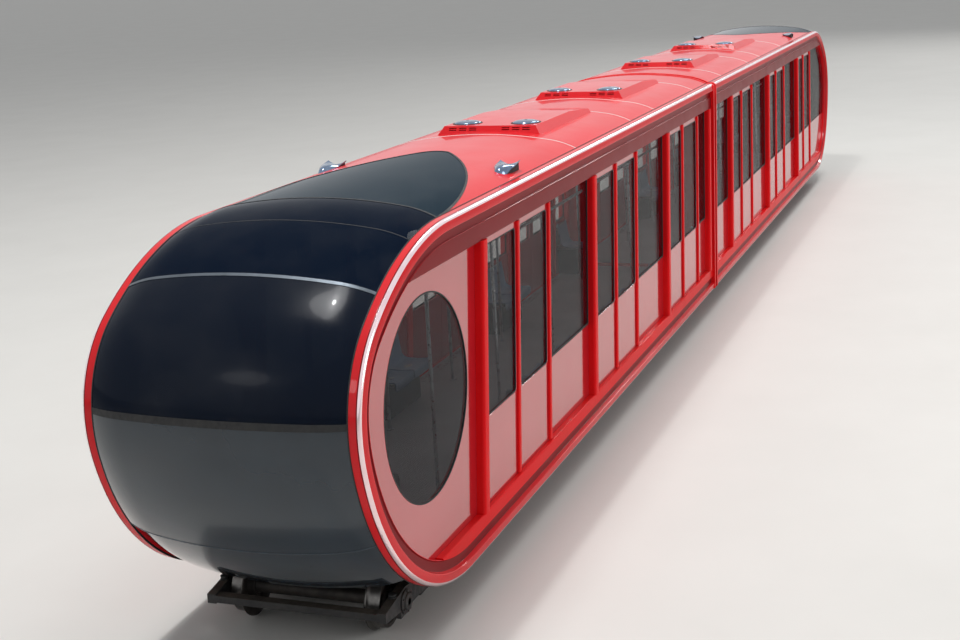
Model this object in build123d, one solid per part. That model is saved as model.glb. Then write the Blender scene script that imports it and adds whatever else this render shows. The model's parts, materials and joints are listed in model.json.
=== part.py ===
"""Articulated funicular car: two glazed body sections hinged at the middle, on four rail bogies.

X runs along the rails, uphill positive. Y is across, Z is square to the rails. The origin is under
the middle of the car at the height of the wheel flange tips. All sizes are in millimetres.
The downhill section is called lower and the uphill one upper. Both ends have the same nose.
"""

import os
from math import asin, atan, cos, degrees, radians, sin, tan

from build123d import *

# Track and wheels
GAUGE = 1200.0
FLANGE_DEPTH = 30.0
TREAD_RADIUS = 230.0
WHEEL_WIDTH = 130.0
FLANGE_WIDTH = 32.0
FLANGE_PLAY = 10.0
FLANGE_ROUND = 6.0
TREAD_CONE = 3.0
HUB_TAPER = 8.0
HUB_RADIUS = 90.0
HUB_OVERHANG = 15.0
WEB_THICKNESS = 34.0
RIM_THICKNESS = 42.0
AXLE_RADIUS = 60.0
JOURNAL_RADIUS = 50.0
JOURNAL_CLEARANCE = 0.05

# The side ring, seen from the side
LOOP_LENGTH = 25500.0
LOOP_BOTTOM = 320.0
LOOP_TOP = 3370.0
NOSE_HEIGHT = 2130.0
TOP_BLEND = 1900.0
BOTTOM_BLEND = 2000.0
UPPER_NOSE_RADIUS = 900.0
LOWER_NOSE_RADIUS = 1150.0

# The ring's section, from the side face inwards
BODY_WIDTH = 2390.0
RING_BACK = 150.0
ROOF_SEAT = 110.0
SHOULDER_OUT = 45.0
SHOULDER_SIDE = 12.0
SHOULDER_DROP = 30.0
WIDEST_DROP = 100.0
RING_DEPTH = 205.0
RING_INSET = 30.0
GROOVE_DEPTH = 50.0
GROOVE_RAMP = 14.0
SEAT_LENGTH = 60.0

# Roof and nose skin, seen along the car
SKIN_RISE = 160.0
CROWN_RADIUS = 5000.0
CROWN_HALF = 790.0
ROOF_THICKNESS = 45.0
GLASS_THICKNESS = 12.0
FAIRING_THICKNESS = 20.0
SKIN_SEAM = 6.0

# Seam heights on the nose
WINDSCREEN_TOP = 3030.0
WINDSCREEN_FOOT = 2200.0
LIP_HEIGHT = 1170.0
BUMPER_FOOT = 650.0
LIP_STEP = 35.0

# Roof glass in plan: its flanks leave the roof's edge downhill of the nose's top and curve in
ROOF_GLASS_LENGTH = 2690.0
ROOF_GLASS_RADIUS = 200.0
ROOF_GLASS_SETBACK = 200.0
ROOF_GLASS_SPILL = 10.0

# Side frame
LEAN = 7.5
LEDGE_TOP = 640.0
HEADER_BOTTOM = 3010.0
HEADER_OUT = 35.0
LEDGE_OUT = 30.0
POST_OUT = 15.0
POST_WIDTH = 130.0
JAMB_OUT = 95.0
JAMB_WIDTH = 40.0
GLASS_OUT = 100.0
PANEL_OUT = 95.0
PANEL_THICKNESS = 35.0
SILL_HEIGHT = 1420.0
BAY_PITCH = 3485.0
NOSE_TO_POST = 2410.0
JOINT_TO_POST = 1495.0
JOINT_POST_SETBACK = 250.0
END_ROOM = 2000.0
FIT = 0.3

# Door leaves, measured uphill from the post's middle
DOOR_OUT = 70.0
DOOR_THICKNESS = 40.0
DOOR_REBATE = 20.0
DOOR_GAP = 6.0
DOOR_HEAD_GAP = 8.0
LEAF_SPLIT = 1045.0
DOOR_END = 1990.0
FRONT_STILE = 35.0
REAR_STILE = 100.0
TOP_STILE = 60.0
WINDOW_CORNER = 40.0

# Tear-drop window in the nose's side panel
EYE_FROM_NOSE = 1440.0
EYE_HEIGHT = 1985.0
EYE_HALF_LENGTH = 860.0
EYE_HALF_HEIGHT = 845.0

# Articulation
JOINT_FOOT = -470.0
JOINT_GAP = 100.0
HOOP_THICKNESS = 60.0
HOOP_PROUD = 8.0
HOOP_NOTCH_HALF = 240.0
SEAL_THICKNESS = 24.0
SEAL_INSET = 45.0
SEAL_STEP = 60.0
GANGWAY_HALF = 720.0
GANGWAY_TOP = 2750.0
GANGWAY_CORNER = 220.0
PIVOT_X = -480.0
PIVOT_RADIUS = 50.0
PIVOT_CLEARANCE = 0.05
TONGUE_THICKNESS = 50.0
TONGUE_WIDTH = 220.0
FORK_PLATE = 28.0
FORK_GAP = 5.0
FORK_MIDDLE = 470.0
FORK_REACH = 420.0
FORK_HEEL = 80.0
TONGUE_ROOT = 300.0

# Floor and underframe
FLOOR_THICKNESS = 80.0
FLOOR_INSET = 70.0
SILL_CLEARANCE = 15.0
SILL_WIDTH = 80.0
SILL_DROP = 160.0
SPINE_HALF_WIDTH = 150.0
SPINE_DEPTH = 110.0
SPINE_NOSE_GAP = 1115.0
TOW_EYE_RADIUS = 30.0
TOW_EYE_SETBACK = 75.0
CROSS_WIDTH = 120.0
CROSS_DEPTH = 110.0
CROSS_CLEARANCE = 170.0
HOOP_CLEARANCE = 40.0
BOLSTER_HALF = 190.0
BOLSTER_DEPTH = 130.0

# Equipment boxes beside the middle cross member: side of it, gap to the next one, depth
EQUIPMENT_BOXES = [(-1, 240.0, 190.0), (1, 840.0, 170.0)]
EQUIPMENT_CROSS_GAP = 190.0
EQUIPMENT_INNER = 260.0
EQUIPMENT_OUTER = 830.0
EQUIPMENT_CHAMFER = 30.0

# Bogies
OUTER_BOGIE_SETBACK = 2150.0
INNER_BOGIE_OFFSET = 3300.0
WHEELBASE = 1600.0
FRAME_Y = 780.0
FRAME_WIDTH = 80.0
FRAME_HALF_LENGTH = 1190.0
FRAME_LOW = 190.0
FRAME_HIGH = 350.0
FRAME_TIP_RISE = 50.0
FRAME_BOX_RISE = 20.0
FRAME_CROWN = 30.0
FRAME_WAIST = 300.0
BOX_HALF = 105.0
BOX_LOW = 150.0
TRANSOM_HALF = 170.0
TRANSOM_LOW = 215.0
TRANSOM_HIGH = 390.0
END_BEAM_WIDTH = 90.0
END_BEAM_LOW = 250.0
END_BEAM_HIGH = 310.0
PIN_RADIUS = 70.0
PIN_CLEARANCE = 0.05
PIN_SHORT = 10.0
BEARER_RADIUS = 38.0
BEARER_GAP = 0.3
BRAKE_HALF = 240.0
BRAKE_Y = 630.0
BRAKE_WIDTH = 150.0
BRAKE_LOW = 45.0
BRAKE_SLOT = 86.0
BRAKE_SLOT_TOP = 95.0

# Roof pods, measured uphill from the post each one follows
POD_OFFSET = 105.0
POD_LENGTH = 2080.0
POD_TOP = 60.0
POD_HALF_TOP = 540.0
POD_HALF_FOOT = 690.0
POD_FRONT_RAKE = 130.0
POD_TAIL_RUN = 700.0
POD_TAIL_DROP = 45.0
POD_SLOT_ROWS = 2
POD_SLOT_COLUMNS = 3
POD_SLOT_LENGTH = 90.0
POD_SLOT_PITCH = 120.0
POD_SLOT_HEIGHT = 10.0
POD_SLOT_RISE = 20.0
POD_SLOT_DROP = 50.0
POD_SLOT_INSET = 60.0
POD_SLOT_DEPTH = 200.0
POD_MOUTH_DEPTH = 260.0
POD_MOUTH_HALF = 500.0
POD_LID = 60.0
DOME_OFFSET = 370.0
DOME_Y = 350.0
DOME_RADIUS = 150.0
DOME_HEIGHT = 34.0

# Finned units on the roof near each nose
UNIT_FROM_NOSE = 3980.0
UNIT_Y = 930.0
UNIT_LENGTH = 380.0
UNIT_WIDTH = 200.0
UNIT_HEIGHT = 175.0
UNIT_BACK_DROP = 10.0
UNIT_FRONT_DROP = 85.0

# Seats and desk
BENCH_LENGTH = 1000.0
BENCH_DEPTH = 430.0
BENCH_HEIGHT = 430.0
BENCH_BACK = 760.0
BENCH_CUSHION = 90.0
BENCH_START = 2120.0
BENCH_REST = 70.0
BENCH_TOE = 60.0
BENCH_JOINT_GAP = 20.0
DESK_HALF = 760.0
DESK_BACK = 1600.0
DESK_TOP_DEPTH = 360.0
DESK_TOP_SLOPE = 160.0
DESK_HEEL = 60.0
DESK_HEIGHT = 1430.0

# Rope socket
SOCKET_FROM_BOGIE = 1700.0
SOCKET_LENGTH = 420.0
SOCKET_BORE = 32.0
SOCKET_SLOT = 70.0
SOCKET_PLATE = 30.0
SOCKET_HEEL = 120.0
SOCKET_PIN_SETBACK = 80.0
SOCKET_DROP = 60.0
SOCKET_MIDDLE = 275.0

# Worked out from the sizes above
HALF_WIDTH = BODY_WIDTH / 2
BOGIE_ROOM = WHEELBASE / 2 + TREAD_RADIUS + CROSS_CLEARANCE
FAR = LOOP_LENGTH
PAST_JOINT = BODY_WIDTH
NOSE_X = -LOOP_LENGTH / 2
LOWER_FIRST_POST = NOSE_X + NOSE_TO_POST
UPPER_FIRST_POST = JOINT_FOOT + JOINT_TO_POST
JOINT_POST = JOINT_FOOT - JOINT_POST_SETBACK
BAY_NEED = DOOR_END + DOOR_GAP + JAMB_WIDTH + POST_WIDTH
BOGIE_CENTRES = {
    "bogie_1": NOSE_X + OUTER_BOGIE_SETBACK,
    "bogie_2": -INNER_BOGIE_OFFSET,
    "bogie_3": INNER_BOGIE_OFFSET,
    "bogie_4": -NOSE_X - OUTER_BOGIE_SETBACK,
}
SOCKET_X = BOGIE_CENTRES["bogie_4"] - SOCKET_FROM_BOGIE
AXLE_Z = TREAD_RADIUS + FLANGE_DEPTH
UPPER_DROP = LOOP_TOP - NOSE_HEIGHT
LOWER_DROP = NOSE_HEIGHT - LOOP_BOTTOM
TOP_X = NOSE_X + TOP_BLEND
BOTTOM_X = NOSE_X + BOTTOM_BLEND


def blend_radius(run, drop, nose_radius):
    """Radius of the long arc that joins a straight run to the nose arc, tangent to both."""
    return ((run - nose_radius) ** 2 + drop**2 - nose_radius**2) / (2 * (drop - nose_radius))


TOP_RADIUS = blend_radius(TOP_BLEND, UPPER_DROP, UPPER_NOSE_RADIUS)
BOTTOM_RADIUS = blend_radius(BOTTOM_BLEND, LOWER_DROP, LOWER_NOSE_RADIUS)
UPPER_JUNCTION = 90 + degrees(
    atan((TOP_BLEND - UPPER_NOSE_RADIUS) / (TOP_RADIUS - UPPER_DROP))
)
LOWER_JUNCTION = 270 - degrees(
    atan((BOTTOM_BLEND - LOWER_NOSE_RADIUS) / (BOTTOM_RADIUS - LOWER_DROP))
)

# Nose arcs in order from the top: centre x, centre z, radius, start angle, end angle
NOSE_ARCS = [
    (TOP_X, LOOP_TOP - TOP_RADIUS, TOP_RADIUS, 90.0, UPPER_JUNCTION),
    (NOSE_X + UPPER_NOSE_RADIUS, NOSE_HEIGHT, UPPER_NOSE_RADIUS, UPPER_JUNCTION, 180.0),
    (NOSE_X + LOWER_NOSE_RADIUS, NOSE_HEIGHT, LOWER_NOSE_RADIUS, 180.0, LOWER_JUNCTION),
    (BOTTOM_X, LOOP_BOTTOM + BOTTOM_RADIUS, BOTTOM_RADIUS, LOWER_JUNCTION, 270.0),
]

CROWN_ANGLE = degrees(asin(CROWN_HALF / CROWN_RADIUS))
SEAT_Y = HALF_WIDTH - ROOF_SEAT
SHOULDER_RUN = SEAT_Y - CROWN_HALF
SHOULDER_FALL = SKIN_RISE - CROWN_RADIUS * (1 - cos(radians(CROWN_ANGLE)))
EDGE_ANGLE = 2 * degrees(atan(SHOULDER_FALL / SHOULDER_RUN)) - CROWN_ANGLE
SHOULDER_RADIUS = SHOULDER_RUN / (sin(radians(EDGE_ANGLE)) - sin(radians(CROWN_ANGLE)))


def polar(radius, angle):
    """X and Y of a point at this angle in degrees."""
    return radius * cos(radians(angle)), radius * sin(radians(angle))


def arc_point(arc, angle, offset=0.0):
    """Point of a nose arc, as x and z, pushed outwards by the offset."""
    x, z, radius = arc[:3]
    across, up = polar(radius + offset, angle)
    return x + across, z + up


def angle_at(height):
    """Angle round the nose at which the ring passes a height."""
    for x, z, radius, start, stop in NOSE_ARCS:
        top = arc_point((x, z, radius), start)[1]
        foot = arc_point((x, z, radius), stop)[1]
        if foot <= height <= top:
            return 180 - degrees(asin((height - z) / radius))
    raise ValueError("height is not on the nose")


def leaning_x(foot_x, z):
    """X at height z of a leaning line that stands at foot_x on the ledge."""
    return foot_x + (z - LEDGE_TOP) * tan(radians(LEAN))


def solid_of(shape):
    """The single solid of a shape, or the shape when it has several."""
    solids = shape.solids()
    return solids[0] if len(solids) == 1 else Compound(children=list(solids))


def group(shapes):
    """One node that holds several solids."""
    return Compound(children=[one for shape in shapes for one in shape.solids()])


def prism_xz(points, y_from, y_to):
    """Solid with a straight-sided outline in X and Z, between two values of Y."""
    face = Face(Wire.make_polygon([(x, y_from, z) for x, z in points], close=True))
    return Solid.extrude(face, Vector(0, y_to - y_from, 0))


def block(x_from, x_to, y_from, y_to, z_from, z_to):
    """Upright block between two corners."""
    corners = [(x_from, z_from), (x_to, z_from), (x_to, z_to), (x_from, z_to)]
    return prism_xz(corners, y_from, y_to)


def lengthwise(points, x_from, x_to):
    """Solid with a straight-sided outline in Y and Z, between two values of X."""
    face = Face(Wire.make_polygon([(x_from, y, z) for y, z in points], close=True))
    return Solid.extrude(face, Vector(x_to - x_from, 0, 0))


def cylinder_z(x, y, radius, z_from, z_to):
    """Upright cylinder."""
    disc = Plane((x, y, z_from)) * Circle(radius)
    return extrude(disc, z_to - z_from)


def cylinder_y(x, z, radius, y_from, y_to):
    """Cylinder across the car."""
    plane = Plane(origin=(x, y_from, z), x_dir=(1, 0, 0), z_dir=(0, 1, 0))
    return extrude(plane * Circle(radius), y_to - y_from)


def both_sides(shape):
    """A shape with its mirror image across the car."""
    return [shape, mirror(shape, about=Plane.XZ)]


def loop_region(inset, x_end, y_from, y_to):
    """Everything inside the side ring's line, moved inwards by inset, as a slab across Y."""
    marks = []
    for arc in NOSE_ARCS:
        start, stop = arc[3:]
        angles = (start, (start + stop) / 2, stop)
        marks.append([arc_point(arc, angle, -inset) for angle in angles])

    def place(point):
        return (point[0], y_from, point[1])

    edges = [Edge.make_three_point_arc(*[place(point) for point in mark]) for mark in marks]
    first = marks[0][0]
    last = marks[-1][2]
    edges.append(Edge.make_line(place(last), (x_end, y_from, last[1])))
    edges.append(Edge.make_line((x_end, y_from, last[1]), (x_end, y_from, first[1])))
    edges.append(Edge.make_line((x_end, y_from, first[1]), place(first)))
    return Solid.extrude(Face(Wire(edges)), Vector(0, y_to - y_from, 0))


def section_plane(arc, angle):
    """Plane square to the ring at an angle round the nose, with its Y axis pointing outwards."""
    x, z = arc_point(arc, angle)
    travel = (sin(radians(angle)), 0, -cos(radians(angle)))
    return Plane(origin=(x, 0, z), x_dir=(0, 1, 0), z_dir=travel)


def carried_round(profile, start, stop):
    """Solids that a section profile makes when carried round the nose between two angles."""
    pieces = []
    for arc in NOSE_ARCS:
        begin = max(start, arc[3])
        end = min(stop, arc[4])
        if end - begin < 0.01:
            continue
        face = section_plane(arc, begin) * profile
        axis = Axis((arc[0], 0, arc[1]), (0, -1, 0))
        pieces.append(revolve(face, axis, end - begin))
    return pieces


def carried_straight(profile, height, x_from, x_to, downwards=False):
    """Solid that a section profile makes along the straight top or bottom of the ring."""
    normal = (0, 0, -1) if downwards else (0, 0, 1)
    travel = Vector(0, 1, 0).cross(Vector(*normal))
    begin = x_to if downwards else x_from
    plane = Plane(origin=(begin, 0, height), x_dir=(0, 1, 0), z_dir=travel)
    return extrude(plane * profile, x_to - x_from)


def fused(pieces):
    """Join pieces that share faces into one solid."""
    whole = pieces[0]
    for piece in pieces[1:]:
        whole = whole + piece
    return whole


def ring_profile():
    """Section of the side ring on the +Y side: across, and outwards from the ring's line."""
    seat_across, seat_down = polar(SEAT_LENGTH, 90 - EDGE_ANGLE)
    seat_foot = (SEAT_Y - seat_across, -seat_down)
    shoulder_start = (HALF_WIDTH - SHOULDER_OUT, 0)
    shoulder_end = (HALF_WIDTH - SHOULDER_SIDE, -SHOULDER_DROP)
    bulge = (HALF_WIDTH - SHOULDER_SIDE - 8, -8)
    line = Polyline(
        shoulder_end,
        (HALF_WIDTH, -WIDEST_DROP),
        (HALF_WIDTH - GROOVE_DEPTH, -WIDEST_DROP - GROOVE_RAMP),
        (HALF_WIDTH - GROOVE_DEPTH, -RING_DEPTH + GROOVE_RAMP),
        (HALF_WIDTH - RING_INSET, -RING_DEPTH),
        (HALF_WIDTH - RING_BACK, -RING_DEPTH),
        seat_foot,
        (SEAT_Y, 0),
        shoulder_start,
    )
    return make_face(line + ThreePointArc(shoulder_start, bulge, shoulder_end))


def skin_curve(depth):
    """Crown and shoulder arcs of the roof, moved inwards by depth, from -Y to +Y."""
    crown_centre = SKIN_RISE - CROWN_RADIUS
    crown = CROWN_RADIUS - depth
    shoulder = SHOULDER_RADIUS - depth
    pull = CROWN_RADIUS - SHOULDER_RADIUS
    centre_y, centre_up = polar(pull, 90 - CROWN_ANGLE)
    shoulder_centre = (centre_y, crown_centre + centre_up)

    def on_crown(angle):
        across, up = polar(crown, 90 - angle)
        return across, crown_centre + up

    def on_shoulder(angle):
        across, up = polar(shoulder, 90 - angle)
        return shoulder_centre[0] + across, shoulder_centre[1] + up

    middle = (CROWN_ANGLE + EDGE_ANGLE) / 2
    right = [on_crown(CROWN_ANGLE), on_shoulder(middle), on_shoulder(EDGE_ANGLE)]
    left = [(-across, up) for across, up in reversed(right)]
    return [left, [left[2], on_crown(0), right[0]], right]


def skin_profile(depth, outset=0.0):
    """Closed section of a skin of one thickness. Outset lifts it off the ring's line."""
    outer = skin_curve(-outset)
    inner = skin_curve(depth - outset)
    curve = Curve()
    for row in outer + inner:
        curve += ThreePointArc(*row)
    curve += Line(outer[0][0], inner[0][0])
    curve += Line(outer[2][2], inner[2][2])
    return make_face(curve)


def under_skin_profile(outset=0.0):
    """Everything under the roof's outer surface, or that surface lifted, down to the ring's line."""
    outer = skin_curve(-outset)
    curve = Curve()
    for row in outer:
        curve += ThreePointArc(*row)
    curve += Line(outer[0][0], outer[2][2])
    return make_face(curve)


def joint_slab(from_gap, to_gap):
    """Leaning slab across the car, between two distances uphill of the joint's middle."""
    low = 0.0
    high = LOOP_TOP + 2 * SKIN_RISE
    corners = [
        (leaning_x(JOINT_FOOT, low) + from_gap, low),
        (leaning_x(JOINT_FOOT, low) + to_gap, low),
        (leaning_x(JOINT_FOOT, high) + to_gap, high),
        (leaning_x(JOINT_FOOT, high) + from_gap, high),
    ]
    return prism_xz(corners, -BODY_WIDTH, BODY_WIDTH)


def leaning_panel(foot_from, foot_to, z_from, z_to, out, thickness):
    """Leaning panel on the +Y side, from two places on the ledge line, out from the side face."""
    corners = [
        (leaning_x(foot_from, z_from), z_from),
        (leaning_x(foot_to, z_from), z_from),
        (leaning_x(foot_to, z_to), z_to),
        (leaning_x(foot_from, z_to), z_to),
    ]
    return prism_xz(corners, HALF_WIDTH - out - thickness, HALF_WIDTH - out)


class Section:
    """One body section. Its nose parts are drawn at the downhill end and turned for the upper one."""

    def __init__(self, name):
        self.name = name
        self.lower = name == "lower"
        first = LOWER_FIRST_POST if self.lower else UPPER_FIRST_POST
        last = JOINT_POST if self.lower else -NOSE_X - END_ROOM
        bays = 1 + int((last - BAY_NEED - first) // BAY_PITCH)
        self.posts = [first + BAY_PITCH * index for index in range(bays)]
        self.half_gap = JOINT_GAP / 2
        self.nose_end = PAST_JOINT

    def turned(self, shape):
        """Put a part drawn at the downhill nose at this section's own nose."""
        return shape if self.lower else mirror(shape, about=Plane.YZ)

    def short_of_joint(self, shape, margin=0.0):
        """Cut a shape back to this section's side of the joint."""
        near = self.half_gap + margin
        if self.lower:
            return shape - joint_slab(-near, 2 * PAST_JOINT)
        return shape - joint_slab(-2 * PAST_JOINT, near)

    def behind_hoop(self, shape):
        """Cut a shape back to where the end hoop begins."""
        return self.short_of_joint(shape, HOOP_THICKNESS)

    def loops(self):
        profile = ring_profile()
        pieces = [carried_straight(profile, LOOP_TOP, TOP_X, self.nose_end)]
        pieces += carried_round(profile, 90.0, 270.0)
        pieces.append(
            carried_straight(profile, LOOP_BOTTOM, BOTTOM_X, self.nose_end, downwards=True)
        )
        ring = self.behind_hoop(self.turned(fused(pieces)))
        return group(both_sides(ring))

    def side_region(self, inset, out, thickness):
        """Slab on the +Y side inside the ring, from one end of the section to its hoop."""
        outer = HALF_WIDTH - out
        region = loop_region(inset, self.nose_end, outer - thickness, outer)
        return self.behind_hoop(self.turned(region))

    def side_frame(self):
        depth = RING_BACK - HEADER_OUT
        header_zone = block(-FAR, FAR, 0, BODY_WIDTH, HEADER_BOTTOM, LOOP_TOP)
        header = self.side_region(RING_DEPTH, HEADER_OUT, depth) & header_zone
        ledge_zone = block(-FAR, FAR, 0, BODY_WIDTH, LOOP_BOTTOM, LEDGE_TOP)
        ledge = self.side_region(RING_DEPTH, LEDGE_OUT, RING_BACK - LEDGE_OUT) & ledge_zone
        pieces = [header, ledge]
        posts = list(self.posts)
        if self.lower:
            posts.append(JOINT_POST)
        for foot in posts:
            half = POST_WIDTH / 2
            pieces.append(
                leaning_panel(
                    foot - half, foot + half, LEDGE_TOP, HEADER_BOTTOM, POST_OUT, RING_BACK - POST_OUT
                )
            )
        for foot in self.posts:
            start = foot + DOOR_END + DOOR_GAP
            pieces.append(
                leaning_panel(
                    start, start + JAMB_WIDTH, LEDGE_TOP, HEADER_BOTTOM, JAMB_OUT, RING_BACK - JAMB_OUT
                )
            )
        return group(both_sides(fused(pieces)))

    def fixed_zones(self):
        """Start and end, on the ledge line, of each fixed pane that has straight sides."""
        zones = []
        ends = self.posts[1:] + ([JOINT_POST] if self.lower else [])
        for foot, end in zip(self.posts, ends):
            start = foot + DOOR_END + DOOR_GAP + JAMB_WIDTH
            zones.append((start + FIT, end - POST_WIDTH / 2 - FIT))
        if self.lower:
            hoop = JOINT_FOOT - self.half_gap - HOOP_THICKNESS
            zones.append((JOINT_POST + POST_WIDTH / 2 + FIT, hoop - FIT))
        else:
            hoop = JOINT_FOOT + self.half_gap + HOOP_THICKNESS
            zones.insert(0, (hoop + FIT, self.posts[0] - POST_WIDTH / 2 - FIT))
        return zones

    def end_zone(self, out, thickness, z_from, z_to):
        """Slab from the last post or jamb to the ring at the nose."""
        region = self.side_region(RING_DEPTH + FIT, out, thickness)
        if self.lower:
            edge = self.posts[0] - POST_WIDTH / 2 - FIT
            corners = [(edge - FAR, z_from), (leaning_x(edge, z_from), z_from)]
            corners += [(leaning_x(edge, z_to), z_to), (edge - FAR, z_to)]
        else:
            edge = self.posts[-1] + DOOR_END + DOOR_GAP + JAMB_WIDTH + FIT
            corners = [(leaning_x(edge, z_from), z_from), (edge + FAR, z_from)]
            corners += [(edge + FAR, z_to), (leaning_x(edge, z_to), z_to)]
        return region & prism_xz(corners, 0, HALF_WIDTH)

    def eye(self, grow, y_from, y_to):
        """Plug of the tear-drop window's shape."""
        plane = Plane(
            origin=(NOSE_X + EYE_FROM_NOSE, y_from, EYE_HEIGHT), x_dir=(1, 0, 0), z_dir=(0, -1, 0)
        )
        outline = plane * Ellipse(EYE_HALF_LENGTH + grow, EYE_HALF_HEIGHT + grow)
        return extrude(outline, y_from - y_to)

    def side_panels(self):
        low = LEDGE_TOP + FIT
        pieces = []
        for start, end in self.fixed_zones():
            pieces.append(
                leaning_panel(start, end, low, SILL_HEIGHT, PANEL_OUT, PANEL_THICKNESS)
            )
        if self.lower:
            high = HEADER_BOTTOM - FIT
            panel = self.end_zone(PANEL_OUT, PANEL_THICKNESS, low, high)
            pieces.append(panel - self.eye(0, 0, HALF_WIDTH))
        else:
            pieces.append(self.end_zone(PANEL_OUT, PANEL_THICKNESS, low, SILL_HEIGHT))
        return group([half for piece in pieces for half in both_sides(piece)])

    def side_glass(self):
        low = SILL_HEIGHT + FIT
        high = HEADER_BOTTOM - FIT
        pieces = []
        for start, end in self.fixed_zones():
            pieces.append(leaning_panel(start, end, low, high, GLASS_OUT, GLASS_THICKNESS))
        if self.lower:
            outer = HALF_WIDTH - GLASS_OUT
            pieces.append(self.eye(-FIT, outer - GLASS_THICKNESS, outer))
        else:
            pieces.append(self.end_zone(GLASS_OUT, GLASS_THICKNESS, low, high))
        return group([half for piece in pieces for half in both_sides(piece)])

    def leaf_spans(self):
        """Start and end, on the ledge line, of every door leaf."""
        spans = []
        for foot in self.posts:
            spans.append((foot + POST_WIDTH / 2 + DOOR_GAP, foot + LEAF_SPLIT - DOOR_GAP / 2))
            spans.append((foot + LEAF_SPLIT + DOOR_GAP / 2, foot + DOOR_END))
        return spans

    def door_window(self, span, shrink, out, thickness):
        start = span[0] + FRONT_STILE + shrink
        end = span[1] - REAR_STILE - shrink
        top = HEADER_BOTTOM - DOOR_HEAD_GAP - TOP_STILE - shrink
        pane = leaning_panel(start, end, SILL_HEIGHT + shrink, top, out, thickness)
        return fillet(pane.edges().filter_by(Axis.Y), WINDOW_CORNER)

    def doors(self):
        leaves = []
        for span in self.leaf_spans():
            top = HEADER_BOTTOM - DOOR_HEAD_GAP
            leaf = leaning_panel(
                span[0], span[1], LEDGE_TOP + FIT, top, DOOR_OUT, DOOR_THICKNESS
            )
            cut = self.door_window(span, 0.0, 0.0, RING_BACK)
            leaves += both_sides(leaf - cut)
        return group(leaves)

    def door_glass(self):
        panes = []
        for span in self.leaf_spans():
            panes += both_sides(self.door_window(span, FIT, DOOR_OUT + DOOR_REBATE, GLASS_THICKNESS))
        return group(panes)

    def roof_glass_cut(self):
        """Plan shape of the roof glass, with flanks that curve in to its round tip, as a tall plug."""
        start = TOP_X - ROOF_GLASS_SETBACK
        tip = TOP_X + ROOF_GLASS_LENGTH
        wide = SEAT_Y + ROOF_GLASS_SPILL
        flank = blend_radius(tip - start, wide, ROOF_GLASS_RADIUS)
        flank_y = wide - flank
        centre = tip - ROOF_GLASS_RADIUS
        turn = 90 - degrees(atan((centre - start) / -flank_y))
        turn_x, turn_y = polar(ROOF_GLASS_RADIUS, turn)
        turn_x += centre
        middle_x, middle_y = polar(flank, (90 + turn) / 2)
        middle_x += start
        middle_y += flank_y
        outline = ThreePointArc((turn_x, -turn_y), (tip, 0), (turn_x, turn_y))
        outline += ThreePointArc((turn_x, turn_y), (middle_x, middle_y), (start, wide))
        outline += Line((start, wide), (start, -wide))
        outline += ThreePointArc((start, -wide), (middle_x, -middle_y), (turn_x, -turn_y))
        return extrude(Plane((0, 0, LEDGE_TOP)) * make_face(outline), LOOP_TOP)

    def roof(self):
        shell = carried_straight(skin_profile(ROOF_THICKNESS), LOOP_TOP, TOP_X, self.nose_end)
        shell = shell - self.roof_glass_cut()
        return self.behind_hoop(self.turned(shell))

    def roof_glass(self):
        profile = skin_profile(GLASS_THICKNESS)
        flat = carried_straight(profile, LOOP_TOP, TOP_X, self.nose_end) & self.roof_glass_cut()
        seam = SKIN_SEAM / 2
        gap = degrees(seam / TOP_RADIUS)
        foot = angle_at(WINDSCREEN_TOP) - degrees(seam / UPPER_NOSE_RADIUS)
        header = fused(carried_round(profile, 90.0 + gap, foot))
        return group([self.turned(flat), self.turned(header)])

    def windscreen(self):
        seam = degrees(SKIN_SEAM / 2 / UPPER_NOSE_RADIUS)
        start = angle_at(WINDSCREEN_TOP) + seam
        stop = angle_at(WINDSCREEN_FOOT) - seam
        return self.turned(fused(carried_round(skin_profile(GLASS_THICKNESS), start, stop)))

    def nose_fairing(self):
        seam = degrees(SKIN_SEAM / 2 / LOWER_NOSE_RADIUS)
        start = angle_at(WINDSCREEN_FOOT) + seam
        lip = angle_at(LIP_HEIGHT)
        foot = angle_at(BUMPER_FOOT)
        upper = carried_round(skin_profile(FAIRING_THICKNESS), start, lip)
        lower = carried_round(skin_profile(FAIRING_THICKNESS, -LIP_STEP), lip, foot)
        web = carried_round(
            skin_profile(LIP_STEP + FAIRING_THICKNESS), lip - 0.8, lip
        )
        return self.turned(fused(upper + web + lower))

    def hoop(self):
        """End frame at the articulation, with the gangway cut through it."""
        width = HALF_WIDTH + HOOP_PROUD
        outline = [
            (-SEAT_Y, LOOP_TOP + HOOP_PROUD / 2),
            (-width + SHOULDER_OUT, LOOP_TOP + HOOP_PROUD / 2),
            (-width, LOOP_TOP - SHOULDER_DROP),
            (-width, LOOP_BOTTOM + SHOULDER_DROP),
            (-width + SHOULDER_OUT, LOOP_BOTTOM),
            (width - SHOULDER_OUT, LOOP_BOTTOM),
            (width, LOOP_BOTTOM + SHOULDER_DROP),
            (width, LOOP_TOP - SHOULDER_DROP),
            (width - SHOULDER_OUT, LOOP_TOP + HOOP_PROUD / 2),
            (SEAT_Y, LOOP_TOP + HOOP_PROUD / 2),
        ]
        plate = lengthwise(outline, -PAST_JOINT, PAST_JOINT)
        cap = carried_straight(
            under_skin_profile(HOOP_PROUD), LOOP_TOP, -PAST_JOINT, PAST_JOINT
        )
        body = plate + cap - self.gangway(0.0) - self.notch()
        near = self.half_gap
        far = near + HOOP_THICKNESS
        slab = joint_slab(-far, -near) if self.lower else joint_slab(near, far)
        return body & slab

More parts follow.
